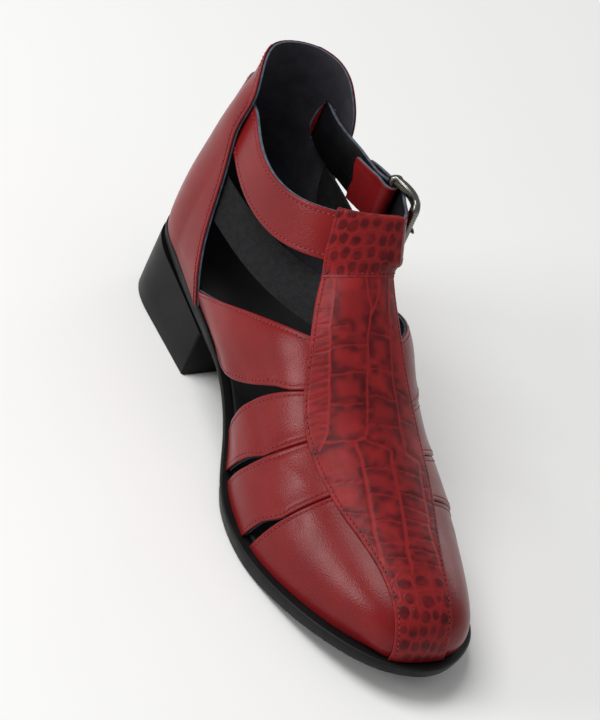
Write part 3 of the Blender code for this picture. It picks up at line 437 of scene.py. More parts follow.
@dataclass
class LastShape:
    """The upper's outer surface: arches from feather to feather along the rows of SECTIONS."""

    sole: SoleShape
    sections: Table = SECTIONS

    def __post_init__(self) -> None:
        """Read the section table."""
        self.table = np.array(self.sections)
        self.rows = np.arange(len(self.table), dtype=float)
        self.last_row = float(self.rows[-1])

    def column(self, u: Array, k: int) -> Array:
        """One column of the section table at row position u."""
        return spline(self.rows, self.table[:, k], u)

    def arch(self, u: Array, x: Array, side: Side) -> Array:
        """Arch position (0 crest, 1 feather) of a given x on one side near the top of the arch.

        Args:
            u: row position.
            x: x to find.
            side: side of the shoe.

        Returns:
            The arch position.
        """
        k = 0 if side is Side.INNER else 1
        width = self.sole.feather(self.column(u, 3 + k), side) - self.column(u, 1)
        wide = width + side.value * self.column(u, 7 + k)
        share = np.clip((x - self.column(u, 1)) / wide, 0.0, 0.98)
        return 1.0 - np.arccos(share ** (self.column(u, 5 + k) / 2.0)) / (math.pi / 2.0)

    def edge(self, u: Array, side: Side) -> Array:
        """Arch position of the strip's edge at row position u."""
        return self.arch(u, self.column(u, 9 if side is Side.INNER else 10), side)

    def point(self, u: Array, v: Array) -> Array:
        """Surface point.

        Args:
            u: row positions.
            v: arch positions, -1 at the inner feather, 0 on the crest, 1 at the outer feather.

        Returns:
            Points (s, x, z).
        """
        u, v = np.asarray(u, float), np.asarray(v, float)
        inner = v < 0.0
        cs, cx, cz = (self.column(u, k) for k in range(3))
        fs = np.where(inner, self.column(u, 3), self.column(u, 4))
        n = np.where(inner, self.column(u, 5), self.column(u, 6))
        swell = np.where(inner, -self.column(u, 7), self.column(u, 8))
        fx = np.where(inner, self.sole.feather(fs, Side.INNER), self.sole.feather(fs, Side.OUTER))
        fz = self.sole.top(fs) + GAP
        a = (1.0 - np.abs(v)) * math.pi / 2.0
        across = np.clip(np.cos(a), 0.0, 1.0) ** (2.0 / n)
        rise = np.sin(a) ** (2.0 / n)
        grow = np.sin(np.minimum(rise / SWELL_RISE, 1.0) * math.pi / 2.0)
        x = cx + (fx - cx + swell * grow) * across
        return np.stack([fs + (cs - fs) * rise, x, fz + (cz - fz) * rise], -1)

    def strip_point(self, u: Array, share: Array) -> Array:
        """Surface point (s, x, z) at a share of the strip's width from its inner edge.

        Args:
            u: row position.
            share: share of the width.

        Returns:
            The point.
        """
        lo, hi = self.column(u, 9), self.column(u, 10)
        x = lo + (hi - lo) * share
        inner = x < self.column(u, 1)
        v = np.where(inner, -self.arch(u, x, Side.INNER), self.arch(u, x, Side.OUTER))
        return self.point(u, v)

    def row_where(self, s: float, side: Side, feather: bool) -> float:
        """Row position where the feather, or else the strip's edge, has a given s on one side.

        Args:
            s: place along the shoe.
            side: side of the shoe.
            feather: whether the feather is meant.

        Returns:
            The row position.
        """
        us = np.linspace(0.0 if feather else 1.6, self.last_row, SAMPLES)
        if feather:
            ss = self.column(us, 3 if side is Side.INNER else 4)
        else:
            ss = self.point(us, side.value * self.edge(us, side))[..., 0]
        return float(np.interp(s, ss[::-1], us[::-1]))


@dataclass
class CupShape:
    """The heel cup: a plan outline per height, open at the front between two edges."""

    rows: Table = COUNTER
    widest_s: float = 29.0
    centre_x: float = 3.0

    def __post_init__(self) -> None:
        """Read the counter table."""
        self.table = np.array(self.rows)

    def row(self, z: Array) -> Array:
        """All columns of the counter table at a height."""
        return spline(self.table[:, 0], self.table[:, 1:], np.clip(z, self.table[0, 0], self.table[-1, 0]))

    def half(self, z: Array, side: Side, s: Array) -> Array:
        """x of the cup's wall on one side at height z and at s.

        Args:
            z: height.
            side: side of the shoe.
            s: place along the shoe.

        Returns:
            x of the wall.
        """
        r = self.row(z)
        back, wide, n, spread = r[..., 0], r[..., 1 if side is Side.INNER else 2], r[..., 3], r[..., 4]
        k = np.clip((self.widest_s - s) / (self.widest_s - back), 0.0, 1.0)
        ahead = np.maximum(s - self.widest_s, 0.0)
        curve = (1.0 - k**n) ** (1.0 / n)
        return self.centre_x + (wide - self.centre_x) * curve + side.value * spread * ahead

    def plan(self, z: float, shares: Array) -> Array:
        """Points (s, x) round the cup at one height, at shares of each side's length from the back.

        Args:
            z: height.
            shares: places on each side, from 0 at the back to 1 at the front edge.

        Returns:
            Points from the inner front edge round the back to the outer one.
        """
        r = self.row(float(z))
        halves = []
        for side in Side:
            front = r[5 if side is Side.INNER else 6]
            s = r[0] + (front - r[0]) * np.linspace(0.0, 1.0, SAMPLES) ** 2
            p = np.stack([s, self.half(np.full(SAMPLES, float(z)), side, s)], -1)
            run = run_along(p)
            halves.append(np.stack([np.interp(shares * run[-1], run, p[:, k]) for k in range(2)], -1))
        return np.concatenate([halves[0][::-1], halves[1][1:]])


@dataclass
class StrapPath:
    """Middle line of the ankle strap with its width and lean."""

    rows: Table = STRAP

    def __post_init__(self) -> None:
        """Read the strap table."""
        self.table = np.array(self.rows)
        self.knots = np.arange(len(self.table), dtype=float)

    def frame(self, t: Array) -> Tuple[Array, Array, Array, Array]:
        """Frames along the strap.

        Args:
            t: positions in rows of the table.

        Returns:
            Points, directions across the width, outward directions and widths.
        """
        row = spline(self.knots, self.table, t)
        ahead, behind = (to_room(spline(self.knots, self.table, t + k)[:, :3]) for k in (NUDGE, -NUDGE))
        d = unit(ahead - behind)
        out = unit(np.cross(d, UP))
        across = np.cross(out, d)
        lean = np.radians(row[:, 4])[:, None]
        leant_across = across * np.cos(lean) - out * np.sin(lean)
        leant_out = out * np.cos(lean) + across * np.sin(lean)
        return to_room(row[:, :3]), leant_across, leant_out, row[:, 3]


SOLE = SoleShape()
LAST = LastShape(SOLE)
CUP = CupShape()
PATH = StrapPath()


@dataclass(frozen=True)
class HeelSizes:
    """Heel block on the floor: back, widest place, roundness, sides and breast corners."""

    back_s: float = -0.9
    widest_s: float = 30.0
    full: float = 2.6
    inner_x: float = -26.2
    outer_x: float = 32.0
    breast_inner_s: float = 68.0
    breast_outer_s: float = 63.8
    edge: float = 0.7


HEEL = HeelSizes()
HEEL_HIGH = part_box("heel")[1]
SHIFT = np.array([HEEL_HIGH.x / MM - HEEL.outer_x, HEEL_HIGH.y / MM + HEEL.back_s, 0.0])


def to_row(points: Array) -> Array:
    """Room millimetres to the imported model's frame in metres."""
    return (np.asarray(points, float).reshape(-1, 3) + SHIFT) * MM


def clear_selection() -> None:
    """Deselect everything, so that operators act on one piece only."""
    for obj in bpy.context.selected_objects:
        obj.select_set(False)


@contextmanager
def edit_mode(obj: Object) -> Iterator[None]:
    """Edit mode on one object, with the selection made beforehand.

    Args:
        obj: the mesh object.

    Returns:
        Context for a with statement; the object is back in object mode after it.
    """
    clear_selection()
    obj.select_set(True)
    bpy.context.view_layer.objects.active = obj
    bpy.ops.object.mode_set(mode="EDIT")
    yield
    bpy.ops.object.mode_set(mode="OBJECT")


def select_faces(mesh: bpy.types.Mesh, chosen: Array) -> None:
    """Select only the chosen faces, for face select mode.

    Args:
        mesh: the mesh.
        chosen: whether each face is chosen.
    """
    bpy.context.tool_settings.mesh_select_mode = (False, False, True)
    mesh.vertices.foreach_set("select", np.zeros(len(mesh.vertices), bool))
    mesh.edges.foreach_set("select", np.zeros(len(mesh.edges), bool))
    mesh.polygons.foreach_set("select", np.ascontiguousarray(chosen, bool))


def need_slots(mesh: bpy.types.Mesh, count: int) -> None:
    """Add empty material slots until a mesh has as many as its faces' material numbers need."""
    while len(mesh.materials) < count:
        mesh.materials.append(None)


def lay_grid(
    name: str,
    points: Array,
    normals: Optional[Array] = None,
    keep: Optional[Array] = None,
    tint: Optional[Array] = None,
    values: Optional[Dict[str, Array]] = None,
) -> Object:
    """Lay a grid primitive over a grid of points.

    Args:
        name: the piece's name.
        points: rows by columns by 3, in room millimetres.
        normals: outward directions, to which the faces are turned.
        keep: cells to leave, rows by columns; the others are deleted.
        tint: material number of each cell.
        values: named numbers at each point, for the material to read.

    Returns:
        The new object.
    """
    rows, cols = points.shape[:2]
    clear_selection()
    bpy.ops.mesh.primitive_grid_add(x_subdivisions=cols - 1, y_subdivisions=rows - 1, size=2.0)
    obj = bpy.context.active_object
    obj.name = obj.data.name = name
    mesh = obj.data
    mesh.vertices.foreach_set("co", to_row(points).ravel())
    for key, value in (values or {}).items():
        layer = mesh.attributes.new(key, "FLOAT", "POINT")
        layer.data.foreach_set("value", np.ascontiguousarray(value, np.float32).ravel())
    if tint is not None:
        need_slots(mesh, int(tint.max()) + 1)
        mesh.polygons.foreach_set("material_index", np.ascontiguousarray(tint, np.int32).ravel())
    mesh.update()
    if normals is not None:
        face = np.cross(points[1:, :-1] - points[:-1, :-1], points[:-1, 1:] - points[:-1, :-1])
        if np.sum(face * normals[:-1, :-1]) > 0.0:
            select_faces(mesh, np.ones(len(mesh.polygons)))
            with edit_mode(obj):
                bpy.ops.mesh.flip_normals()
    if keep is not None:
        select_faces(mesh, ~keep.ravel())
        with edit_mode(obj):
            bpy.ops.mesh.delete(type="FACE")
    return obj


def close_up(obj: Object) -> Object:
    """Weld a piece's seams, close the holes at its ends and face it outwards.

    Args:
        obj: the piece.

    Returns:
        The same piece.
    """
    select_faces(obj.data, np.ones(len(obj.data.polygons)))
    with edit_mode(obj):
        bpy.ops.mesh.remove_doubles(threshold=WELD)
        bpy.ops.mesh.dissolve_degenerate(threshold=WELD)
        bpy.ops.mesh.select_all(action="SELECT")
        bpy.ops.mesh.fill_holes(sides=0)
        bpy.ops.mesh.select_all(action="SELECT")
        bpy.ops.mesh.normals_make_consistent(inside=False)
    return obj


def modify(obj: Object, kind: str, **settings: object) -> Object:
    """Add a modifier with its settings and apply it.

    Args:
        obj: the piece.
        kind: modifier type.
        settings: the modifier's properties.

    Returns:
        The same piece.
    """
    clear_selection()
    bpy.context.view_layer.objects.active = obj
    obj.select_set(True)
    modifier = obj.modifiers.new(kind.title(), kind)
    for key, value in settings.items():
        setattr(modifier, key, value)
    bpy.ops.object.modifier_apply(modifier=modifier.name)
    return obj


def thicken(obj: Object, thick: float, inside: int = 0, rim: int = 0) -> Object:
    """Give a sheet its thickness inwards.

    Args:
        obj: the open sheet, facing outwards.
        thick: thickness in millimetres.
        inside: material steps from the outer to the inner face.
        rim: material steps from the outer face to the cut edge.

    Returns:
        The same object, closed.
    """
    need_slots(obj.data, 1 + max(inside, rim))
    return modify(obj, "SOLIDIFY", thickness=thick * MM, offset=-1.0, use_quality_normals=True,
                  material_offset=inside, material_offset_rim=rim)


def dress(
    obj: Object,
    finishes: Sequence[Material],
    node: Optional[str] = None,
    crisp: float = 40.0,
) -> Object:
    """Finish a piece: its materials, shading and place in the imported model.

    Args:
        obj: the piece.
        finishes: its materials in order.
        node: CAD node that it stands for.
        crisp: edges sharper than this angle in degrees stay crisp.

    Returns:
        The same object.
    """
    need_slots(obj.data, len(finishes))
    for k, finish in enumerate(finishes):
        obj.data.materials[k] = finish
    clear_selection()
    obj.select_set(True)
    bpy.context.view_layer.objects.active = obj
    bpy.ops.object.shade_smooth_by_angle(angle=math.radians(crisp))
    obj.select_set(False)
    if node:
        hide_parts(node)
    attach(obj, "root")
    LOG.info("%s: %d faces", obj.name, len(obj.data.polygons))
    return obj


def linear(code: str) -> Tuple[float, float, float, float]:
    """sRGB hex colour to linear red, green, blue and alpha.

    Args:
        code: hex colour with its hash.

    Returns:
        The four linear values.
    """
    parts = [int(code[k : k + 2], 16) / 255.0 for k in (1, 3, 5)]
    red, green, blue = (c / 12.92 if c <= 0.04045 else ((c + 0.055) / 1.055) ** 2.4 for c in parts)
    return red, green, blue, 1.0


def add_node(
    tree: bpy.types.NodeTree, kind: str, inputs: Optional[Dict[object, object]] = None, **settings: object
) -> bpy.types.Node:
    """Add a shader node.

    Args:
        tree: the material's or world's node tree.
        kind: the node's type without its ShaderNode prefix.
        inputs: socket names or numbers, each with a value or with another node's output to link.
        settings: the node's own properties.

    Returns:
        The new node.
    """
    made = tree.nodes.new("ShaderNode" + kind)
    for key, value in settings.items():
        setattr(made, key, value)
    for key, value in (inputs or {}).items():
        if isinstance(value, bpy.types.NodeSocket):
            tree.links.new(value, made.inputs[key])
        else:
            made.inputs[key].default_value = value
    return made


def per_metre(size: float) -> float:
    """Texture scale of a pattern whose features are a size in millimetres."""
    return 1.0 / (size * MM)


def ramp_colours(ramp: bpy.types.Node, stops: Sequence[Tuple[float, str]]) -> None:
    """Set the stops (position, hex colour) of a colour ramp.

    Args:
        ramp: the ramp.
        stops: its stops from left to right.
    """
    elements = ramp.color_ramp.elements
    while len(elements) < len(stops):
        elements.new(0.5)
    for element, (place, code) in zip(elements, stops):
        element.position = place
        element.color = linear(code)


# Size of the patches of uneven gloss, as a share of the colour's mottle, and strength of the grain's bump
GLOSS_PATCH = 0.4
GRAIN_BUMP = 0.6


@dataclass(frozen=True)
class Finish:
    """A surface: mottled colour, uneven gloss and a fine relief, all from real sizes in millimetres."""

    name: str
    dark: str
    light: str
    mottle: float
    rough: Tuple[float, float]
    grain: float
    depth: float
    metal: float = 0.0
    specular: float = 0.5
    cells: bool = True

    def shader(self) -> Tuple[Material, bpy.types.Node, bpy.types.Node]:
        """Start the material.

        Returns:
            The material, its Principled node and the coordinates its patterns read.
        """
        material = bpy.data.materials.new(self.name)
        material.use_nodes = True
        tree = material.node_tree
        shader = next(n for n in tree.nodes if n.type == "BSDF_PRINCIPLED")
        shader.inputs["Metallic"].default_value = self.metal
        shader.inputs["Specular IOR Level"].default_value = self.specular
        return material, shader, add_node(tree, "TexCoord")

    def colour(self, tree: bpy.types.NodeTree, place: bpy.types.NodeSocket) -> bpy.types.NodeSocket:
        """Mottled colour between the dark and the light one.

        Args:
            tree: node tree of the material.
            place: coordinates that the pattern reads.

        Returns:
            Socket with the colour.
        """
        cloud = add_node(tree, "TexNoise", {"Vector": place, "Scale": per_metre(self.mottle), "Detail": 3.0})
        ramp = add_node(tree, "ValToRGB", {"Fac": cloud.outputs["Fac"]})
        ramp_colours(ramp, ((0.32, self.dark), (0.68, self.light)))
        return ramp.outputs["Color"]

    def relief(self, tree: bpy.types.NodeTree, place: bpy.types.NodeSocket) -> bpy.types.NodeSocket:
        """Height of the fine grain."""
        kind, height = ("TexVoronoi", "Distance") if self.cells else ("TexNoise", "Fac")
        return add_node(tree, kind, {"Vector": place, "Scale": per_metre(self.grain)}).outputs[height]

    def make(self) -> Material:
        """Build the material.

        Returns:
            The material.
        """
        material, shader, coordinates = self.shader()
        tree = material.node_tree
        place = coordinates.outputs["Object"]
        tree.links.new(self.colour(tree, place), shader.inputs["Base Color"])
        scale = per_metre(self.mottle * GLOSS_PATCH)
        patches = add_node(tree, "TexNoise", {"Vector": place, "Scale": scale, "Detail": 2.0})
        gloss = add_node(tree, "MapRange", {"Value": patches.outputs["Fac"], "From Min": 0.3, "From Max": 0.7,
                                            "To Min": self.rough[0], "To Max": self.rough[1]})
        tree.links.new(gloss.outputs["Result"], shader.inputs["Roughness"])
        bump = add_node(tree, "Bump", {"Height": self.relief(tree, place), "Strength": GRAIN_BUMP,
                                       "Distance": self.depth * MM})
        tree.links.new(bump.outputs["Normal"], shader.inputs["Normal"])
        return material


@dataclass(frozen=True)
class EmbossedFinish(Finish):
    """Leather plated with scales: the scale pattern comes with the mesh as the attribute scale_tone."""

    groove: str = "#8A2022"

    def colour(self, tree: bpy.types.NodeTree, place: bpy.types.NodeSocket) -> bpy.types.NodeSocket:
        """Bright leather between the scales, the mottled dark colour on them.

        Args:
            tree: node tree of the material.
            place: coordinates that the pattern reads.

        Returns:
            Socket with the colour.
        """
        tone = add_node(tree, "Attribute", attribute_name="scale_tone")
        mottled = super().colour(tree, place)
        inputs = {0: tone.outputs["Fac"], 6: linear(self.groove), 7: mottled}
        return add_node(tree, "Mix", inputs, data_type="RGBA").outputs[2]


# Dyed calf, lightly polished: an even red with soft broad highlights, which a fine pebbled grain breaks up;
# the grain is drawn twice as coarse as the real one, so that it shows
CALF = Finish("dyed red calf leather", "#6C1316", "#771719", 22.0, (0.28, 0.35), 0.8, 0.075, specular=0.2)
# Calf plated with a hot scale pattern: dark glossy scales on brighter red
CROC = EmbossedFinish("scale-embossed red calf", "#4A1014", "#60161B", 7.0, (0.38, 0.48), 0.8, 0.04,
                      specular=0.15)
# Pigskin lining, sueded: matt black that drinks the light
LINING = Finish("black sueded lining", "#2C2C32", "#3A3A41", 9.0, (0.82, 0.95), 0.6, 0.08, specular=0.25)
# Raw edge of the blue-grey lining split, fibrous and matt
EDGE = Finish("cut lining edge", "#414B57", "#5C6774", 2.5, (0.8, 0.95), 0.5, 0.08, specular=0.3, cells=False)
# Coated inner face of the strap: smooth black with a wet gloss
STRAP_LINING = Finish("black coated lining", "#0C0C0E", "#151518", 12.0, (0.34, 0.46), 0.9, 0.03,
                      specular=0.3)
# Bonded polyester thread, a little lighter than the leather and silky
THREAD = Finish("red polyester thread", "#762024", "#86282B", 1.5, (0.42, 0.55), 0.5, 0.05,
                specular=0.35, cells=False)
# Painted shade of a needle hole: a dark cap over the hole, coloured as its unlit inside
HOLE_SHADE = Finish("needle hole", "#340C10", "#441216", 2.0, (0.85, 0.95), 0.5, 0.02, specular=0.1)
# Moulded rubber with a satin skin: charcoal black, broad soft reflections
SOLE_RUBBER = Finish("black moulded sole rubber", "#0C0C0D", "#121213", 16.0, (0.42, 0.54), 0.7, 0.03,
                     specular=0.18)
# Lacquered heel block: smoother than the sole, with clearer reflections
HEEL_LACQUER = Finish("black lacquered heel", "#09090A", "#0D0D0E", 30.0, (0.36, 0.44), 1.4, 0.012,
                      specular=0.12)
# Insole covered in black leather, matt from wear
INSOLE_LEATHER = Finish("black insole leather", "#0D0D0F", "#17171A", 14.0, (0.62, 0.78), 1.1, 0.06,
                        specular=0.3)
# Woven elastic: matt black rubber threads under a polyester weave
WEBBING = Finish("black elastic webbing", "#0F0F11", "#19191B", 3.0, (0.7, 0.85), 0.55, 0.12,
                 specular=0.18, cells=False)
# Zinc casting plated gunmetal and polished: a warm dark grey mirror with a soft haze
GUNMETAL = Finish("gunmetal plated zinc", "#6A6862", "#807D76", 10.0, (0.2, 0.32), 0.5, 0.008,
                  metal=1.0, cells=False)
# Seamless studio paper: flat warm white
PAPER = Finish("white studio paper", "#F6F6F5", "#F8F8F7", 400.0, (0.8, 0.9), 2.0, 0.02,
               specular=0.2, cells=False)


@dataclass
class Stitching:
    """Rows of stitches gathered for one joined mesh: flat capsules, each with a needle hole after it under a
    dark cap of painted shade.
    """

    pitch: float = 2.3
    long: float = 1.6
    wide: float = 0.6
    high: float = 0.32
    hole: float = 0.28
    proud: float = 0.05
    sides: int = 6
    seats: List[Tuple[Array, Array, Array]] = field(default_factory=list)

    def add(self, path: Array, normals: Array) -> None:
        """Sew along a path.

        Args:
            path: points on the surface in room millimetres.
            normals: the surface's outward directions there.
        """
        run = run_along(path)
        count = int(run[-1] // self.pitch)
        if count < 1:
            return
        at = (np.arange(count) + 0.5) * run[-1] / count
        reach = self.long / 2.0
        along = unit(read_along(run, path, at + reach) - read_along(run, path, at - reach))
        up = read_along(run, normals, at)
        up = unit(up - along * np.sum(up * along, -1, keepdims=True))
        self.seats.append((read_along(run, path, at), along, up))

    def shape(self) -> Tuple[Array, List[Tuple[int, ...]]]:
        """Model one stitch and its hole.

        Returns:
            Points (along, across, up) and faces; the last ones are the hole's sides and its cap.
        """
        clear_selection()
        bpy.ops.mesh.primitive_uv_sphere_add(segments=self.sides, ring_count=self.sides, radius=1.0)
        ball = bpy.context.active_object
        co = np.array([v.co for v in ball.data.vertices])
        faces = [tuple(p.vertices) for p in ball.data.polygons]
        bpy.data.objects.remove(ball, do_unlink=True)
        full = np.sign(co[:, 2]) * np.abs(co[:, 2]) ** 0.6 * self.long / 2.0
        co = np.stack([full, co[:, 0] * self.wide / 2.0, co[:, 1] * self.high], -1)
        n, first = self.sides, len(co)
        turn = np.arange(n) * 2.0 * math.pi / n
        ring = np.stack([np.cos(turn), np.sin(turn), turn * 0.0], -1) * self.hole
        ring[:, 0] += self.pitch / 2.0
        low, high = ring - [0.0, 0.0, self.high], ring + [0.0, 0.0, self.proud]
        pairs = [(first + k, first + (k + 1) % n) for k in range(n)]
        walls = [(a, b, b + n, a + n) for a, b in pairs]
        return np.concatenate([co, low, high]), faces + walls + [tuple(range(first + n, first + 2 * n))]

    def build(self, name: str, thread: Material, hole: Material) -> Object:
        """Join every stitch into one mesh.

        Args:
            name: name of the piece.
            thread: material of the threads.
            hole: material of the needle holes, their painted shade.

        Returns:
            The piece.
        """
        base, faces = self.shape()
        centre, along, up = (np.concatenate(v) for v in zip(*self.seats))
        across = np.cross(up, along)
        axes = enumerate((along, across, up))
        points = centre[:, None] + sum(base[None, :, k, None] * v[:, None] for k, v in axes)
        mesh = bpy.data.meshes.new(name)
        every = [tuple(len(base) * n + k for k in f) for n in range(len(centre)) for f in faces]
        mesh.from_pydata([tuple(v) for v in to_row(points)], [], every)
        # The hole's walls and cap take the dark material: painted shade of the hole's inside
        dark = self.sides + 1
        tint = np.tile([0] * (len(faces) - dark) + [1] * dark, len(centre))
        mesh.polygons.foreach_set("material_index", tint.astype(np.int32))
        obj = bpy.data.objects.new(name, mesh)
        bpy.context.scene.collection.objects.link(obj)
        return dress(obj, (thread, hole))


@dataclass(frozen=True)
class Edge:
    """How a leather edge is finished: rolled over, then pressed down along its stitches."""

    roll: float = 0.6
    sewn_at: float = 2.1
    sewn_wide: float = 0.6
    sewn_deep: float = 0.14

    def relief(self, d: Array) -> Array:
        """Height of the leather at a distance from its edge, against a plain sheet.

        Args:
            d: distance from the edge.

        Returns:
            Height at that distance.
        """
        k = np.clip(1.0 - d / self.roll, 0.0, 1.0)
        rolled = self.roll * (1.0 - np.sqrt(1.0 - k * k))
        return -rolled - self.sewn_deep * np.exp(-(((d - self.sewn_at) / self.sewn_wide) ** 2))


LEATHER_EDGE = Edge()


class SoleFace(Enum):
    """Face of the sole that a ring of points follows."""

    UNDER = "underside"
    TOP = "top"


Ring = Tuple[Array, SoleFace, float]


@dataclass
class Bottom:
    """Outsole, heel block and insole."""

    around: int = 150
    welt_thick: float = 2.1
    welt_step: float = 0.35
    insole_inset: float = 2.7
    insole_thick: float = 2.4
    heel_corner: float = 1.1
    heel_breast: float = 15.0
    cap_shares: Tuple[float, ...] = (1.0, 0.6, 0.3)

    def ladder(self, t: Array, rings: Sequence[Ring], low: float, high: float) -> Array:
        """Grid from the underside's middle line out, up the side and in to the middle line on top.

        Args:
            t: positions round the outline.
            rings: each ring's inset from the feather line, the sole's face it follows and its lift.
            low: lift of the underside's middle.
            high: lift of the upper face's middle.

        Returns:
            Points, rows by positions by 3.
        """
        rows = []
        for inset, face, lift in rings:
            p = SOLE.at(t, -inset)
            level = SOLE.under(p[:, 0]) if face is SoleFace.UNDER else SOLE.top(p[:, 0])
            rows.append(np.stack([p[:, 0], p[:, 1], level + lift], -1))
        caps = []
        for row, lift in ((rows[0], low), (rows[-1], high)):
            middle = (row + row[::-1]) / 2.0
            rise = [(k, np.array([0, 0, lift * (1 - (1 - k) ** 2)])) for k in self.cap_shares]
            caps.append([row + (middle - row) * k + up for k, up in rise])
        return to_room(np.array(caps[0] + rows + caps[1][::-1]))

    def outsole(self) -> Object:
        """Sole with a tucked underside, a stepped side and the welt's ledge.

        Returns:
            The piece.
        """
        t = SOLE.around(self.around)
        welt = SOLE.welt(t)
        tuck = SOLE.tuck(SOLE.at(t, welt)[:, 0])
        step, thick = self.welt_step, self.welt_thick
        under, top = SoleFace.UNDER, SoleFace.TOP
        rings = (
            (tuck + 1.6 - welt, under, 0.0),
            (tuck + 0.9 - welt, under, 0.08),
            (tuck + 0.45 - welt, under, 0.4),
            (tuck * 0.8 + step - welt, under, 1.2),
            (tuck * 0.3 + step - welt, top, -thick - 1.6),
            (step - welt, top, -thick - 0.2),
            (step - welt, top, -thick),
            (0.06 - welt, top, -thick + 0.12),
            (0.0 - welt, top, -thick + 0.4),
            (0.0 - welt, top, -0.75),
            (0.12 - welt, top, -0.3),
            (0.4 - welt, top, -0.06),
            (0.8 - welt, top, 0.0),
        )
        return close_up(lay_grid("outsole_rubber", self.ladder(t, rings, 0.0, 0.0)))

    def insole(self) -> Object:
        """Footbed with a rounded edge, lying inside the upper's wall.

        Returns:
            The piece.
        """
        t = SOLE.around(self.around)
        wide = np.full(len(t), self.insole_inset)
        thick = self.insole_thick
        edge = ((0.2, GAP), (0.0, 0.8), (0.0, thick - 0.7), (0.2, thick - 0.25), (0.7, thick), (4.0, thick))
        rings = [(wide + inset, SoleFace.TOP, lift) for inset, lift in edge]
        return close_up(lay_grid("insole_cover", self.ladder(t, rings, 0.0, -0.3)))

    def heel_outline(self, inset: float) -> Array:
        """Heel's outline (s, x), set in by a distance: inner breast, round the back, outer breast, closed.

        Args:
            inset: distance inwards.

        Returns:
            Points of the outline.
        """
        pts = []
        a = np.linspace(0.0, math.pi / 2.0, 40)
        mid = CUP.centre_x
        sides = ((-1, HEEL.inner_x, HEEL.breast_inner_s), (1, HEEL.outer_x, HEEL.breast_outer_s))
        for side, wide, breast in sides:
            s = HEEL.widest_s - (HEEL.widest_s - HEEL.back_s - inset) * np.cos(a) ** (2.0 / HEEL.full)
            x = mid + (wide - side * inset - mid) * np.sin(a) ** (2.0 / HEEL.full)
            turn = np.linspace(0.0, math.pi / 2.0, 7)
            r = self.heel_corner
            front = breast - inset
            s = np.concatenate([s, [front - self.heel_breast], front - r + r * np.sin(turn)])
            x = np.concatenate([x, [wide - side * inset], wide - side * (inset + r - r * np.cos(turn))])
            half = np.stack([s, x], -1)
            pts.append(half[::-1] if side < 0 else half[1:])
        loop = np.concatenate(pts)
        return np.concatenate([loop, loop[:1]])

    def heel(self) -> Object:
        """Block heel with an eased top-piece edge and rounded breast corners.

        Returns:
            The piece.
        """
        edge = HEEL.edge
        rows = []
        levels = ((edge, 0.0), (edge * 0.45, 0.12), (edge * 0.12, 0.35), (0.0, edge), (0.0, 9.0), (0.3, None))
        for inset, level in levels:
            p = self.heel_outline(inset)
            z = np.full(len(p), level) if level is not None else SOLE.under(p[:, 0]) - GAP
            rows.append(np.stack([p[:, 0], p[:, 1], z], -1))
        return close_up(lay_grid("heel_block", to_room(np.array(rows))))

    def build(self, finishes: Dict[str, Material]) -> None:
        """Make and dress the three pieces.

        Args:
            finishes: the materials by name.
        """
        dress(self.outsole(), (finishes["sole"],), "outsole", 50.0)
        dress(self.heel(), (finishes["heel"],), "heel", 50.0)
        dress(self.insole(), (finishes["insole"],), "insole")


@dataclass(frozen=True)
class Cut:
    """One edge of a cut in the upper, and the panel that ends or the slit that opens there."""

    name: str
    edge_inner: float
    feather_inner: float
    edge_outer: float
    feather_outer: float
    bow: float
    rows: int
    shut: float
    narrow: float = 1.0


# Edges of the cuts: s on the strip's inner edge, s on the inner feather, s on the strip's outer edge,
# s on the outer feather, bow towards the heel in rows, rows of faces ahead of the edge,
# share of the way from strip to feather over which the cut behind the edge stays shut, share of its full
# width that a cut has along most of the side before it opens out at the feather
CUTS = (
    Cut("vamp rear", 189.8, 177.0, 196.0, 173.0, 0.0, 64, 0.42),
    Cut("strap 1 front", 189.0, 171.0, 195.2, 167.0, 0.0, 1, 0.0),
    Cut("strap 1 rear", 165.0, 140.4, 176.2, 136.0, 0.0, 38, 0.36),
    Cut("strap 2 front", 164.2, 135.8, 175.4, 131.6, 0.0, 1, 0.0),
    Cut("strap 2 rear", 147.2, 118.6, 157.8, 114.0, 0.16, 38, 0.06),
    Cut("strap 3 front", 146.0, 86.6, 156.6, 83.0, 0.0, 1, 0.0, 0.45),
    Cut("strap 3 rear", 131.0, 50.0, 136.4, 48.0, 0.0, 44, 0.0),
)


@dataclass(frozen=True)
class Crease:
    """A soft fold in a panel; its ends are shares from panel front to rear and from strip to feather."""

    panel: int
    side: Side
    start: Tuple[float, float]
    end: Tuple[float, float]
    high: float
    wide: float

    def relief(self, panel: Array, reach: Array) -> Array:
        """Height of the fold over one side of a panel.

        Args:
            panel: points of that side, rows from front to rear.
            reach: share of the way from strip to feather at each column.

        Returns:
            Heights in millimetres, below zero in a trough.
        """
        ends = []
        for share, way in (self.start, self.end):
            ends.append(panel[round(share * (len(panel) - 1)), int(np.argmin(np.abs(reach - way)))])
        a, b = ends
        k = np.clip(((panel - a) @ (b - a)) / np.sum((b - a) ** 2), 0.0, 1.0)
        away = np.linalg.norm(panel - a - k[..., None] * (b - a), axis=-1)
        return self.high * np.exp(-((away / self.wide) ** 2))


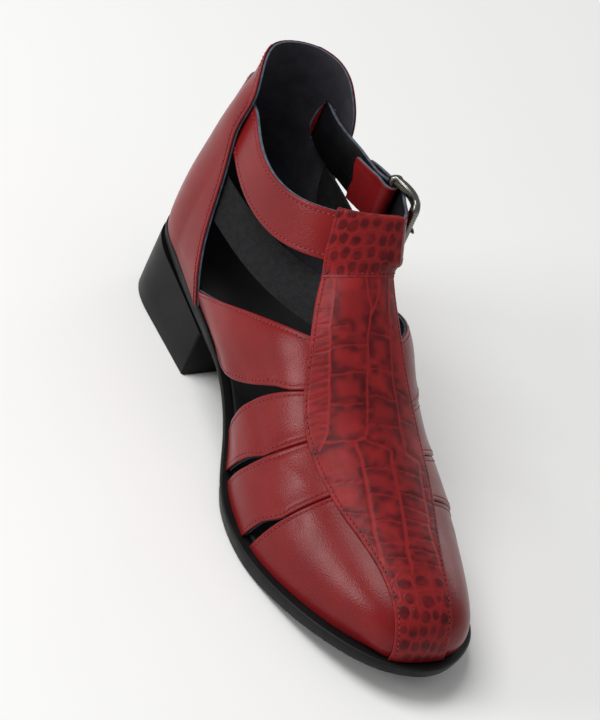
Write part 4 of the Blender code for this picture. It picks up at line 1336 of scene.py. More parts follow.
# Folds from wear and from pulling the straps over the last: troughs across the straps and a ridge beside them
CREASES = (
    Crease(3, Side.INNER, (0.1, 0.62), (0.9, 0.78), -0.55, 4.2),
    Crease(3, Side.INNER, (0.2, 0.82), (0.85, 0.92), 0.4, 3.2),
    Crease(3, Side.INNER, (0.1, 0.28), (0.55, 0.42), -0.3, 3.6),
    Crease(2, Side.INNER, (0.1, 0.45), (0.9, 0.6), -0.4, 3.6),
    Crease(2, Side.INNER, (0.2, 0.78), (0.9, 0.9), 0.3, 3.0),
    Crease(1, Side.INNER, (0.1, 0.52), (0.9, 0.66), -0.35, 3.8),
    Crease(1, Side.INNER, (0.5, 0.2), (0.95, 0.4), 0.25, 3.0),
    Crease(0, Side.INNER, (0.84, 0.4), (0.93, 0.85), -0.4, 3.4),
    Crease(0, Side.OUTER, (0.84, 0.4), (0.93, 0.85), -0.4, 3.4),
    Crease(1, Side.OUTER, (0.1, 0.5), (0.9, 0.64), -0.35, 3.6),
    Crease(2, Side.OUTER, (0.1, 0.4), (0.9, 0.58), -0.4, 3.6),
    Crease(3, Side.OUTER, (0.1, 0.55), (0.9, 0.72), -0.5, 4.2),
    Crease(3, Side.OUTER, (0.2, 0.8), (0.85, 0.9), 0.35, 3.2),
)


@dataclass
class Upper:
    """Vamp, straps and heel cup: red leather outside, black lining inside, sewn along every edge."""

    side_columns: int = 30
    strip_columns: int = 10
    base_rows: int = 12
    cut_taper: float = 0.3
    seam_rows: float = 0.015
    leather: float = 1.0
    lining: float = 0.7
    lap: float = 0.55
    lap_run: float = 5.0
    cup_leather: float = 1.1
    cup_lining: float = 0.8
    cup_columns: int = 64
    cup_rows: int = 70
    cup_from: float = 42.0
    cup_foot: float = 34.0
    cup_base_rows: int = 8
    slots: Table = ((12.4, 14.9), (18.0, 20.4))
    slot_spare: float = 0.6
    lip_row: float = 13.5
    lip_wide: float = 2.9
    lip_off: float = 0.5
    lip_turn: float = 0.5
    lip_deepest: float = -0.35
    lip_fade: Tuple[float, float] = (0.6, 1.3)
    lip_bulge: float = 0.3
    lip_thick: float = 0.4

    def __post_init__(self) -> None:
        """Lay the rows of the front from its cuts; a row holds its position u at every column."""
        self.side = np.linspace(1.0, 0.0, self.side_columns + 1) ** 1.15
        self.across = np.linspace(0.0, 1.0, self.strip_columns + 1)[1:-1]
        self.rows = [self.curve(0.0, 0.0, 0.0, 0.0, 0.0)]
        self.shut: List[float] = []
        self.panels: List[Tuple[int, int]] = []
        ahead = 0.0
        for cut in CUTS:
            end = self.curve(LAST.row_where(cut.edge_inner, Side.INNER, False),
                             LAST.row_where(cut.feather_inner, Side.INNER, True),
                             LAST.row_where(cut.edge_outer, Side.OUTER, False),
                             LAST.row_where(cut.feather_outer, Side.OUTER, True), cut.bow)
            start = self.rows[-1]
            opens = cut.name.endswith("front")
            if opens:
                end = start + np.maximum((end - start) * self.taper(ahead, cut.narrow), self.seam_rows)
            else:
                self.panels.append((len(self.rows) - 1, len(self.rows) - 1 + cut.rows))
            self.add_rows(start, end, edge_shares(cut.rows), ahead if opens else 1.0)
            ahead = cut.shut
        start = self.rows[-1]
        self.add_rows(start, start * 0.0 + LAST.last_row, np.linspace(0.0, 1.0, self.base_rows + 1), -1.0)

    def add_rows(self, start: Array, end: Array, shares: Array, shut: float) -> None:
        """Append rows from one curve to the next and note how far their cells stay shut.

        Args:
            start: row positions of the first curve.
            end: row positions of the second curve.
            shares: places of the rows from the first to the second.
            shut: how far the rows' cells stay shut.
        """
        for share in shares[1:]:
            self.rows.append(start + (end - start) * share)
            self.shut.append(shut)

    def curve(
        self, edge_in: float, feather_in: float, edge_out: float, feather_out: float, bow: float
    ) -> Array:
        """Row positions at every column, from those at the strip's edges and at the feathers.

        Args:
            edge_in: position at the strip's inner edge.
            feather_in: position at the inner feather.
            edge_out: position at the strip's outer edge.
            feather_out: position at the outer feather.
            bow: how far the curve bows between them.

        Returns:
            One row position per column.
        """
        inner = edge_in + (feather_in - edge_in) * self.side
        outer = edge_out + (feather_out - edge_out) * self.side
        swing = bow * np.sin(math.pi * self.side)
        middle = edge_in + (edge_out - edge_in) * self.across
        return np.concatenate([inner + swing, middle, (outer + swing)[::-1]])

    def taper(self, shut: float, narrow: float) -> Array:
        """Share of a cut's full width at every column: none where it is shut, then opening smoothly."""
        k = smooth((self.side - shut) / self.cut_taper) * (narrow + (1.0 - narrow) * self.side**3)
        return np.concatenate([k, np.zeros(len(self.across)), k[::-1]])

    def points(self) -> Array:
        """Outer surface points of every row and column, in room axes.

        Returns:
            The points in a grid.
        """
        n = self.side_columns + 1
        out = []
        for u in self.rows:
            e = LAST.edge(u[:n], Side.INNER)
            inner = LAST.point(u[:n], -(e + (1.0 - e) * self.side))
            middle = LAST.strip_point(u[n:-n], self.across)
            e = LAST.edge(u[-n:], Side.OUTER)
            outer = LAST.point(u[-n:], e + (1.0 - e) * self.side[::-1])
            out.append(np.concatenate([inner, middle, outer]))
        return to_room(np.array(out))

    def keep(self) -> Array:
        """Cells left after the slits and gaps are cut and only the strip's base goes on to the ankle.

        Returns:
            Whether each cell is kept.
        """
        n = self.side_columns
        cells = np.ones((len(self.rows) - 1, 2 * n + self.strip_columns), bool)
        reach = (self.side[1:] + self.side[:-1]) / 2.0
        for i, shut in enumerate(self.shut):
            if shut < 1.0:
                cells[i, :n] = reach <= shut
                cells[i, -n:] = (reach <= shut)[::-1]
        return cells

    def front(self, sewing: Stitching) -> Tuple[Object, Object]:
        """Vamp and straps with rolled, sewn edges, each strap lapping over what lies ahead of it.

        Args:
            sewing: gathers the stitches along the edges.

        Returns:
            The leather and its lining.
        """
        base = self.points()
        normals = grid_normals(base, UP)
        n = self.side_columns + 1
        sides = np.ones(base.shape[1])
        sides[n:-n] = 0.0
        lift = np.zeros(base.shape[:2])
        spans = []
        for k, (a, b) in enumerate(self.panels):
            run = run_along(base[a : b + 1])
            rear = run[-1] - run
            rise = LEATHER_EDGE.relief(rear)
            if k > 0:
                rise = rise + LEATHER_EDGE.relief(run) + self.lap * np.exp(-((run / self.lap_run) ** 2))
            lift[a : b + 1] = rise * sides
            for crease in (c for c in CREASES if c.panel == k):
                part = slice(0, n) if crease.side is Side.INNER else slice(-n, None)
                reach = self.side if crease.side is Side.INNER else self.side[::-1]
                fold = crease.relief(base[a : b + 1, part], reach)
                lift[a : b + 1, part] += fold * smooth(reach, 0.0, 0.08)
            spans += [(a, rear)] + ([(a, run)] if k > 0 else [])
        outer = base + normals * lift[..., None]
        for a, gap in spans:
            row = a + np.argmin(np.abs(gap - LEATHER_EDGE.sewn_at), axis=0)
            every = np.arange(base.shape[1])
            line, out = outer[row, every], normals[row, every]
            for part in (slice(1, n), slice(-n, -1)):
                sewing.add(line[part], out[part])
        keep = self.keep()
        leather = thicken(lay_grid("upper_leather", outer, normals, keep), self.leather)
        inner = base - normals * self.leather
        return leather, thicken(lay_grid("upper_lining", inner, normals, keep), self.lining, 0, 1)

    def cup_points(self) -> Array:
        """Outer surface of the heel cup, rows from the feather to the rim, in room axes.

        Returns:
            The points in a grid.
        """
        shares = 1.0 - edge_shares(2 * self.cup_columns)[self.cup_columns :: -1] * 2.0
        climb = 1.0 - (1.0 - np.linspace(0.0, 1.0, self.cup_rows + 1)) ** 1.5
        rows = []
        for z in self.cup_from + (CUP.table[-1, 0] - self.cup_from) * climb:
            p = CUP.plan(z, shares)
            rows.append(np.stack([p[:, 0], p[:, 1], np.full(len(p), z)], -1))
        p = CUP.plan(self.cup_foot, shares)
        foot = np.stack([p[:, 0], p[:, 1], SOLE.top(p[:, 0]) + GAP], -1)
        base = [foot + (rows[0] - foot) * k / self.cup_base_rows for k in range(self.cup_base_rows)]
        return to_room(np.array(base + rows))

    def slot_cutter(self, span: Tuple[float, ...]) -> Object:
        """Room the strap takes up where it passes through the cup.

        Args:
            span: first and last row of the strap's path to cover.

        Returns:
            The cutting piece.
        """
        p, across, out, width = PATH.frame(np.linspace(span[0], span[1], 17))
        h = STRAP_THICK / 2.0 + GAP
        corners = ((-h, -1.0), (h, -1.0), (h, 1.0), (-h, 1.0), (-h, -1.0))
        half = (width / 2.0 + self.slot_spare)[:, None]
        ring = [p + out * o + across * half * w for o, w in corners]
        return close_up(lay_grid("slot_form", np.stack(ring, 1), tint=np.ones((len(p) - 1, len(ring) - 1))))

    def slot_lip(self) -> Object:
        """Turned edge of the leather that shows inside the cup along the heel side of the outer slot.

        Returns:
            The piece.
        """
        w = np.linspace(-0.94, 0.94, 25)
        p, across, out, width = PATH.frame(np.full(len(w), self.lip_row))
        along = unit(unit(PATH.frame(np.full(len(w), self.lip_row + 0.1))[0] - p) - out * self.lip_turn)
        line = p + across * (w * width / 2.0)[:, None] - out * (STRAP_THICK / 2.0 + self.lip_off)
        away = w - self.lip_deepest
        below, above = self.lip_fade
        reach = self.lip_wide * np.cos(math.pi / 2.0 * np.where(away < 0.0, away / below, away / above))
        shares = np.array([0.0, 0.2, 0.4, 0.58, 0.6, 0.8, 1.0])
        lift = self.lip_bulge * np.sin(math.pi * shares)[None, :, None] * -out[:, None]
        points = line[:, None] + along[:, None] * (reach[:, None] * shares)[..., None] + lift
        tint = np.repeat(np.array([[0, 0, 0, 1, 1, 1]]), len(w) - 1, 0)
        sheet = lay_grid("slot_lip_leather", points, -out[:, None] + points * 0.0, tint=tint)
        return thicken(sheet, self.lip_thick)

    def cup(self, sewing: Stitching) -> Tuple[Object, Object]:
        """Heel cup with a rolled, sewn rim and the two slots that the strap runs through.

        Args:
            sewing: gathers the stitches along the rim.

        Returns:
            The leather and its lining.
        """
        base = self.cup_points()
        normals = level_normals(base)
        rim = np.concatenate([base[:, 0], base[-1, 1:-1], base[::-1, -1]])
        out = np.concatenate([normals[:, 0], normals[-1, 1:-1], normals[::-1, -1]])
        apart = np.array([np.sqrt(np.min(np.sum((rim - p) ** 2, -1))) for p in base.reshape(-1, 3)])
        outer = base + normals * LEATHER_EDGE.relief(apart.reshape(base.shape[:2]))[..., None]
        inward = unit(np.cross(np.gradient(rim, axis=0), out))
        if np.dot(inward[len(rim) // 2], UP) > 0.0:
            inward = -inward
        sewing.add(rim + inward * LEATHER_EDGE.sewn_at, out)
        leather = thicken(lay_grid("counter_leather", outer, normals), self.cup_leather)
        inner = base - normals * self.cup_leather
        lining = thicken(lay_grid("counter_lining", inner, normals), self.cup_lining, 0, 1)
        for span in self.slots:
            form = self.slot_cutter(span)
            for piece in (leather, lining):
                modify(piece, "BOOLEAN", operation="DIFFERENCE", solver="EXACT", object=form)
            bpy.data.objects.remove(form, do_unlink=True)
        return leather, lining

    def build(self, finishes: Dict[str, Material]) -> None:
        """Make and dress the leather, the linings and the stitches.

        Args:
            finishes: the materials by name.
        """
        sewing = Stitching()
        leather, lining = self.front(sewing)
        dress(leather, (finishes["calf"],), "upper")
        dress(lining, (finishes["lining"], finishes["edge"]), None)
        leather, lining = self.cup(sewing)
        dress(self.slot_lip(), (finishes["calf"], finishes["edge"]), None)
        dress(leather, (finishes["calf"],), None)
        dress(lining, (finishes["lining"], finishes["edge"]), None)
        sewing.build("upper_stitches", finishes["thread"], finishes["hole"])


class LineKind(Enum):
    """How a line between scales shows; the value is its half width in millimetres."""

    BAND = 0.7
    RIDGE = 0.42
    CREASE = 0.3


@dataclass(frozen=True)
class ScaleLine:
    """A line between scales: its kind and places (run from the toe, x) along it."""

    kind: LineKind
    places: Table

    def away(self, run: Array, x: Array) -> Array:
        """Distance of every point of a sheet from the line.

        Args:
            run: run from the toe at every point.
            x: x at every point.

        Returns:
            The distances.
        """
        best = np.full(run.shape, FAR)
        p = np.stack([run, x], -1)
        knots = np.array(self.places)
        for a, b in zip(knots[:-1], knots[1:]):
            k = np.clip(((p - a) @ (b - a)) / np.sum((b - a) ** 2), 0.0, 1.0)
            best = np.minimum(best, np.linalg.norm(p - a - k[..., None] * (b - a), axis=-1))
        return best


# The raised line that parts the finely creased column on the strip's inner side, drawn paler with a painted
# sheen, from the rest
MEDIAL_RIDGE = ScaleLine(LineKind.RIDGE, (
    (172.0, -9.0), (165.0, -11.0), (157.0, -13.5), (150.0, -16.0), (142.0, -17.3), (130.0, -19.0),
    (112.0, -21.5), (106.0, -22.8), (102.0, -25.0)))
# Long lines of the embossed strip: towards the toe three bright bands, and from the ball up thin raised lines
LONG_LINES = (
    ScaleLine(LineKind.BAND, (
        (99.5, -14.2), (92.0, -13.0), (85.0, -13.6), (76.0, -14.3), (60.0, -16.4), (40.0, -18.2))),
    ScaleLine(LineKind.BAND, (
        (94.5, 0.2), (85.0, -0.9), (72.0, -1.5), (60.0, -3.6), (49.0, -5.8), (36.0, -8.0))),
    ScaleLine(LineKind.BAND, (
        (95.0, 8.2), (92.0, 14.6), (81.5, 12.9), (71.0, 11.3), (59.5, 9.0), (49.0, 7.8), (36.0, 7.0))),
    ScaleLine(LineKind.RIDGE, (
        (99.5, -26.5), (102.0, -25.0), (101.0, -18.0), (100.0, -14.2), (101.0, -10.0), (99.0, -8.0),
        (97.0, -3.0), (94.5, 0.2))),
    MEDIAL_RIDGE,
    ScaleLine(LineKind.RIDGE, (
        (172.0, 3.7), (161.0, 2.7), (156.0, 2.8), (151.0, 1.0), (140.0, -1.5), (128.0, -3.6),
        (115.0, -6.1), (104.0, -8.0), (100.5, -9.8))),
    ScaleLine(LineKind.RIDGE, ((153.0, 1.8), (159.5, 6.1), (164.0, 8.2), (172.0, 10.5))),
    ScaleLine(LineKind.RIDGE, (
        (172.0, 15.5), (159.0, 12.8), (150.0, 11.2), (140.0, 9.6), (128.0, 8.7), (112.0, 8.5), (95.0, 8.2))),
    ScaleLine(LineKind.RIDGE, ((27.5, -12.0), (24.0, -10.4), (20.5, -11.0), (17.0, -10.2))),
)
# Short creases across it, sloping to the outer side: run from the toe and x at the inner and at the outer end
CROSS_CREASES: Table = (
    (84.5, -27.0, 82.0, -14.0), (70.0, -24.0, 67.5, -15.0), (57.5, -20.0, 55.5, -16.6),
    (88.0, -13.2, 86.0, -1.0), (77.0, -14.2, 74.5, -1.3), (65.0, -15.8, 62.0, -3.3),
    (54.0, -16.8, 52.0, -5.2), (46.5, -17.4, 46.0, -6.2), (41.0, -18.0, 41.5, -7.0),
    (87.0, -0.8, 84.5, 13.4), (76.5, -1.2, 74.0, 11.8), (69.5, -2.0, 67.0, 10.6),
    (64.0, -2.9, 61.5, 9.4), (56.0, -4.4, 53.5, 8.3), (49.5, -5.7, 47.5, 7.7),
    (44.5, -6.6, 41.5, 7.3), (88.0, 14.0, 87.0, 18.0), (80.0, 12.7, 79.0, 17.0),
    (73.0, 11.6, 72.0, 16.0), (66.0, 10.4, 65.0, 15.0), (59.0, 8.9, 58.0, 13.0),
    (159.0, -18.0, 158.0, -13.6), (152.0, -20.5, 151.5, -16.0), (146.5, -22.5, 146.0, -17.0),
    (141.0, -24.0, 140.5, -17.8), (135.0, -26.0, 134.5, -18.8), (128.5, -27.0, 128.0, -19.4),
    (122.0, -28.0, 121.5, -20.6), (116.0, -28.0, 115.0, -21.2), (110.0, -28.6, 109.0, -22.4),
    (150.0, -15.0, 149.0, -9.0), (141.0, -17.0, 140.5, -2.0), (130.0, -18.6, 129.5, -4.0),
    (117.5, -20.0, 116.0, -8.0), (131.0, -2.8, 130.5, 8.6), (119.0, -5.0, 117.5, 8.3),
    (106.5, -7.4, 106.0, 8.4), (146.0, 1.0, 145.0, 10.2), (122.0, 8.5, 120.5, 14.0),
    (110.0, 8.6, 108.0, 16.0),
)
SCALE_LINES = LONG_LINES + tuple(
    ScaleLine(LineKind.CREASE, (crease[:2], crease[2:])) for crease in CROSS_CREASES
)
# Round scales at the toe: run from the toe, x, length along the strip, width
TOE_SCALES: Table = (
    (38.0, -16.2, 3.4, 3.4), (34.0, -12.1, 4.8, 5.4), (35.3, -4.6, 4.6, 5.4), (34.5, 3.4, 4.4, 4.0),
    (28.2, -17.2, 3.2, 2.6), (27.7, -11.7, 4.2, 3.4), (26.5, -4.1, 5.2, 6.2), (27.5, 1.3, 3.0, 2.6),
    (26.0, 5.0, 5.2, 3.4), (22.0, -14.8, 5.6, 3.8), (21.5, -10.4, 3.8, 3.0), (20.5, -6.2, 4.8, 4.2),
    (21.0, -1.5, 4.0, 3.0), (19.2, 2.6, 5.0, 4.0), (15.2, -15.2, 3.6, 2.8), (14.8, -11.6, 4.6, 3.8),
    (15.0, -7.2, 4.6, 4.2), (15.0, -2.6, 4.2, 3.0), (14.0, 1.4, 5.4, 3.7), (9.0, -14.0, 4.6, 3.6),
    (8.6, -9.4, 4.0, 3.4), (9.0, -5.0, 5.2, 4.2), (8.0, -0.8, 4.9, 3.2), (7.6, 2.9, 4.6, 2.9),
    (3.4, -11.4, 3.2, 3.6), (3.0, -6.6, 3.2, 3.6), (2.8, -2.0, 3.0, 3.4), (2.8, 2.0, 2.8, 3.0),
)


@dataclass
class ScalePattern:
    """Hot-pressed scales: plates between lines, and netted round scales from the toe up to a place."""

    dots: Table
    dots_to: float
    lines: Tuple[ScaleLine, ...] = ()
    seed: int = SEED
    plate_high: float = 0.1
    ridge_high: float = 0.14
    crease_deep: float = 0.1
    dot_high: float = 0.14
    net_high: float = 0.1
    ground: float = 0.3

    def round_scales(self, run: Array, x: Array) -> Tuple[Array, Array]:
        """Lay the round scales.

        Args:
            run: length along the sheet from the toe at every point.
            x: place across the sheet.

        Returns:
            How far every point lies on a scale and on the thin net between them, each 0 to 1.
        """
        uneven = (value_noise(run / 1.7, x / 1.7, self.seed + 3) - 0.5) * 0.4
        on = np.zeros_like(run)
        first, second = np.full(run.shape, FAR), np.full(run.shape, FAR)
        for a, c, long, wide in self.dots:
            r = np.hypot((run - a) / (long / 2.0), (x - c) / (wide / 2.0)) ** 1.2 + uneven
            on = np.maximum(on, smooth(r, 1.14, 0.84))
            away = np.hypot(run - a, x - c) - (long + wide) / 4.0 + uneven
            second = np.minimum(second, np.maximum(first, away))
            first = np.minimum(first, away)
        return on, smooth(second - first, 0.9, 0.25) * (1.0 - on)

    def lay(self, run: Array, x: Array) -> Tuple[Array, Array]:
        """Work out the pattern.

        Args:
            run: length along the sheet from the toe at every point.
            x: place across the sheet.

        Returns:
            Height of the relief in millimetres and darkness of the scale.
        """
        wavy_run = run + (value_noise(run / 5.0, x / 5.0, self.seed) - 0.5) * 1.6
        wavy_x = x + (value_noise(run / 6.0, x / 6.0, self.seed + 1) - 0.5) * 0.9
        near = np.full(run.shape, FAR)
        shown, height = np.zeros_like(run), np.zeros_like(run)
        heights = {LineKind.RIDGE: self.ridge_high, LineKind.BAND: 0.0, LineKind.CREASE: -self.crease_deep}
        for line in self.lines:
            straight = line.kind is LineKind.RIDGE
            away = line.away(run if straight else wavy_run, wavy_x)
            half = line.kind.value
            near = np.minimum(near, away)
            bright = 0.75 if line.kind is LineKind.CREASE else 1.0
            shown = np.maximum(shown, bright * smooth(away, half * 1.5, half * 0.6))
            height = height + heights[line.kind] * np.exp(-((away / (half * 1.3)) ** 2))
        blotch = smooth(value_noise(run / 2.3, x / 2.9, self.seed + 2), 0.2, 0.8)
        cloud = smooth(value_noise(run / 7.0, x / 6.0, self.seed + 4), 0.25, 0.75)
        margin = smooth(near, 5.2, 0.8)
        dark = 0.12 + 0.95 * margin * (0.25 + 0.75 * blotch) + 0.3 * (cloud - 0.4)
        plates = (1.0 - shown) * np.clip(dark, 0.0, 1.0)
        on, net = self.round_scales(run, x)
        above = smooth(run, self.dots_to, self.dots_to + 5.0)
        scales = on * (0.65 + 0.35 * blotch) + (1.0 - on) * self.ground * (1.0 - net) * (0.4 + 0.8 * blotch)
        tone = plates * above + scales * (1.0 - above)
        relief = self.dot_high * on + self.net_high * net
        height = height + self.plate_high * (1.0 - shown) * above + relief * (1.0 - above)
        return height, np.clip(tone, 0.0, 1.0)


@dataclass
class InstepStrip:
    """Embossed strip from the toe to the ankle, with a folded sleeve on top for the strap."""

    rows: int = 330
    columns: int = 110
    sleeve_rows: int = 150
    sleeve_columns: int = 100
    sleeve_from: float = 28.05
    sleeve_to: float = 31.6
    flap_from: float = 10.88
    flap_lift: float = 1.75
    leather: float = 1.1
    dots_to: float = 36.5
    dot_pitch: Tuple[float, float] = (6.1, 5.2)
    dot_size: Tuple[float, float] = (3.4, 4.6)
    fine_creases: float = 0.14
    # Run from the toe over which the inner column's painted sheen and its fine creases fade in
    sheen_and_creases_from: Tuple[float, float] = (100.0, 106.0)
    sewn_from: int = 6
    edge: Edge = Edge(0.5, 1.7, 0.5, 0.12)

    def strip(self, sewing: Stitching) -> Object:
        """The strip up to the seam under its sleeve.

        Args:
            sewing: gathers the stitches.

        Returns:
            The piece.
        """
        u = 0.1 + np.linspace(0.0, 1.0, self.rows + 1) ** 0.9 * (LAST.last_row - 0.1)
        share = (edge_shares(self.columns) + np.linspace(0.0, 1.0, self.columns + 1)) / 2.0
        uu, qq = np.meshgrid(u, share, indexing="ij")
        base = to_room(LAST.strip_point(uu, qq))
        normals = grid_normals(base, UP)
        run = run_along(base)
        across = run_along(base, 1)
        width = np.repeat(across[:, -1:], len(share), 1)
        height, tone = ScalePattern(TOE_SCALES, self.dots_to, SCALE_LINES).lay(run, base[..., 0])
        side = np.array(MEDIAL_RIDGE.places)[::-1]
        beside = np.interp(run, side[:, 0], side[:, 1]) - base[..., 0]
        # Painted sheen: the creased column beside the ridge is lightened, with pale streaks along its fine
        # creases, to stand for the glossy highlight on it; the same mask presses in the real fine creases
        sheen_and_creases = smooth(beside, -0.2, 0.6) * smooth(run, *self.sheen_and_creases_from)
        fine = value_noise(run / 0.8, base[..., 0] / 3.5, SEED + 6)
        tone = np.clip(tone * (1.0 - 0.45 * sheen_and_creases) + 0.4 * sheen_and_creases * (fine - 0.45), 0.0, 1.0)
        height = height - self.fine_creases * sheen_and_creases * fine
        edges = np.minimum(across, width - across)
        height = height * smooth(edges, 0.3, 1.4) + self.edge.relief(edges)
        outer = base + normals * (GAP + STRIP_THICK - 0.1 + height)[..., None]
        every = np.arange(len(u))
        for gap in (across, width - across):
            col = np.argmin(np.abs(gap - self.edge.sewn_at), axis=1)
            sewing.add(outer[every, col][self.sewn_from :], normals[every, col][self.sewn_from :])
        sheet = lay_grid("instep_strip_croc", outer, normals, values={"scale_tone": tone})
        return thicken(sheet, self.leather)

    def sleeve_scales(self, long: float, wide: float) -> Table:
        """Round scales in uneven staggered rows over a sheet of a length and width.

        Args:
            long: length of the sheet.
            wide: its width.

        Returns:
            Run, x, length and width of each scale.
        """
        rng = np.random.default_rng(SEED)
        down, over = self.dot_pitch
        made = []
        for i in range(int(long / down) + 1):
            for j in range(int(wide / over) + 1):
                a, c = rng.uniform(-0.8, 0.8, 2)
                size = rng.uniform(*self.dot_size, 2) + (0.5, 0.0)
                made.append(((i + 0.7) * down + a, (j + 0.3 + 0.35 * (i % 2)) * over + c, *size))
        return tuple(made)

    def sleeve(self, sewing: Stitching) -> Object:
        """Loop of the strip folded over the strap and sewn down across the strip.

        Args:
            sewing: gathers the stitches.

        Returns:
            The piece.
        """
        n = self.sleeve_columns + 1
        share = edge_shares(self.sleeve_columns)
        t = self.sleeve_from + (self.sleeve_to - self.sleeve_from) * share
        p, across, out, width = PATH.frame(t)
        face = STRAP_THICK / 2.0 + GAP + SLEEVE_WALL
        half = (width / 2.0 + GAP + 0.1)[:, None]
        wall = SLEEVE_WALL
        flap = []
        for u in (self.flap_from, self.flap_from + 0.08):
            spot = np.linspace(u - 0.02, u + 0.02, 3)
            uu, qq = np.meshgrid(spot, share, indexing="ij")
            g = to_room(LAST.strip_point(uu, qq))
            flap.append(g[1] + grid_normals(g, UP)[1] * self.flap_lift)
        turns = ((face, -0.72), (face, -0.25), (face, 0.25), (face, 0.72), (face, 0.93))
        knots = flap + [p + out * o + across * half * w for o, w in turns]
        knots += [p + out * face * 0.72 + across * (half + wall * 0.8), p + across * (half + wall),
                  p - out * face * 0.72 + across * (half + wall * 0.8)]
        knots += [p - out * o + across * half * w for o, w in turns[::-1]]
        knots += [p - out * face * 0.72 - across * (half + wall * 0.6), p - across * (half + wall * 0.9)]
        line = np.array(knots)
        dense = np.linspace(0.0, 1.0, self.sleeve_rows + 1)
        grid = np.zeros((len(dense), n, 3))
        for k in range(n):
            run = run_along(line[:, k])
            grid[:, k] = spline(run, line[:, k], dense * run[-1])
        normals = unit(np.cross(np.gradient(grid, axis=0), np.gradient(grid, axis=1)))
        row = len(dense) // 5
        if np.sum(normals[row] * out) < 0.0:
            normals = -normals
        run, wide = run_along(grid), run_along(grid, 1)
        width = np.repeat(wide[:, -1:], n, 1)
        scales = self.sleeve_scales(float(run.max()), float(wide.max()))
        height, tone = ScalePattern(scales, FAR, (), SEED + 5).lay(run, wide)
        edges = np.minimum(np.minimum(wide, width - wide), run)
        height = height * smooth(edges, 0.3, 1.4) + self.edge.relief(edges)
        outer = grid + normals * height[..., None]
        first = int(np.argmin(np.abs(run[:, n // 2] - self.edge.sewn_at)))
        sewing.add(outer[first, 3:-3], normals[first, 3:-3])
        sheet = lay_grid("instep_sleeve_croc", outer, normals, values={"scale_tone": tone})
        return thicken(sheet, self.leather)

    def build(self, finishes: Dict[str, Material]) -> None:
        """Make and dress the strip, its sleeve and their stitches.

        Args:
            finishes: the materials by name.
        """
        sewing = Stitching()
        dress(self.strip(sewing), (finishes["croc"],), "instep_strip")
        dress(self.sleeve(sewing), (finishes["croc"],), None)
        sewing.build("strip_stitches", finishes["thread"], finishes["hole"])


@dataclass
class Elastic:
    """Ribbed elastic band from under the strip to inside the heel cup on one side."""

    side: Side
    strip_s: Tuple[float, float]
    cup_z: Tuple[float, float]
    sag: float
    under: float = 6.0
    behind: float = 6.0
    bow: float = 2.0
    slack: float = 0.2
    ribs: int = 18
    rib_high: float = 0.16
    rows: int = 40
    per_rib: int = 6

    def ends(self, share: Array) -> Tuple[Array, Array]:
        """Lines where the band is held: under the strip and inside the cup.

        Args:
            share: places across the band's width.

        Returns:
            Points under the strip and points inside the cup.
        """
        side = self.side
        front, rear = [], []
        for k in share:
            s = self.strip_s[0] + (self.strip_s[1] - self.strip_s[0]) * k
            u = LAST.row_where(s, side, False)
            lo, hi = float(LAST.column(u, 9)), float(LAST.column(u, 10))
            inset = self.under / (hi - lo)
            q = inset if side is Side.INNER else 1.0 - inset
            uu, qq = np.meshgrid([u - 0.02, u, u + 0.02], [q - 0.001, q, q + 0.001], indexing="ij")
            g = to_room(LAST.strip_point(uu, qq))
            n = grid_normals(g, UP)
            front.append(g[1, 1] - n[1, 1] * (UPPER_WALL + GAP + ELASTIC_THICK / 2.0))
            z = self.cup_z[0] + (self.cup_z[1] - self.cup_z[0]) * k
            s = CUP.row(z)[5 if side is Side.INNER else 6] - self.behind
            wall = COUNTER_WALL + GAP + self.slack + ELASTIC_THICK / 2.0
            x = CUP.half(np.array(z), side, s) - side.value * wall
            rear.append(to_room([s, x, z]))
        return np.array(front), np.array(rear)

    def build(self, finishes: Dict[str, Material]) -> None:
        """Make the ribbed band and dress it.

        Args:
            finishes: the materials by name.
        """
        share = np.linspace(0.0, 1.0, self.ribs * self.per_rib + 1)
        knots = np.linspace(0.0, 1.0, 9)
        front, rear = (spline(knots, line, share) for line in self.ends(knots))
        k = np.linspace(0.0, 1.0, self.rows + 1)[:, None, None]
        swing = np.array([self.side.value * self.bow, 0.0, -self.sag])
        grid = front + (rear - front) * k + swing * np.sin(math.pi * k)
        normals = grid_normals(grid, (self.side.value, 0.0, 0.0))
        wave = self.rib_high * (np.abs(np.sin(math.pi * share * self.ribs)) - 0.5)
        outer = grid + normals * (ELASTIC_THICK / 2.0 - self.rib_high + wave)[None, :, None]
        name = self.side.name.lower()
        web = thicken(lay_grid("elastic_%s_web" % name, outer, normals), ELASTIC_THICK - 2.0 * self.rib_high)
        dress(web, (finishes["web"],), "elastic_%s" % name, 60.0)


# The two bands: side, s under the strip and height in the cup, each at the top and the bottom, and sag
ELASTICS = (
    Elastic(Side.INNER, (112.0, 131.0), (84.6, 65.0), 5.0),
    Elastic(Side.OUTER, (110.5, 127.0), (87.6, 66.0), -0.6),
)


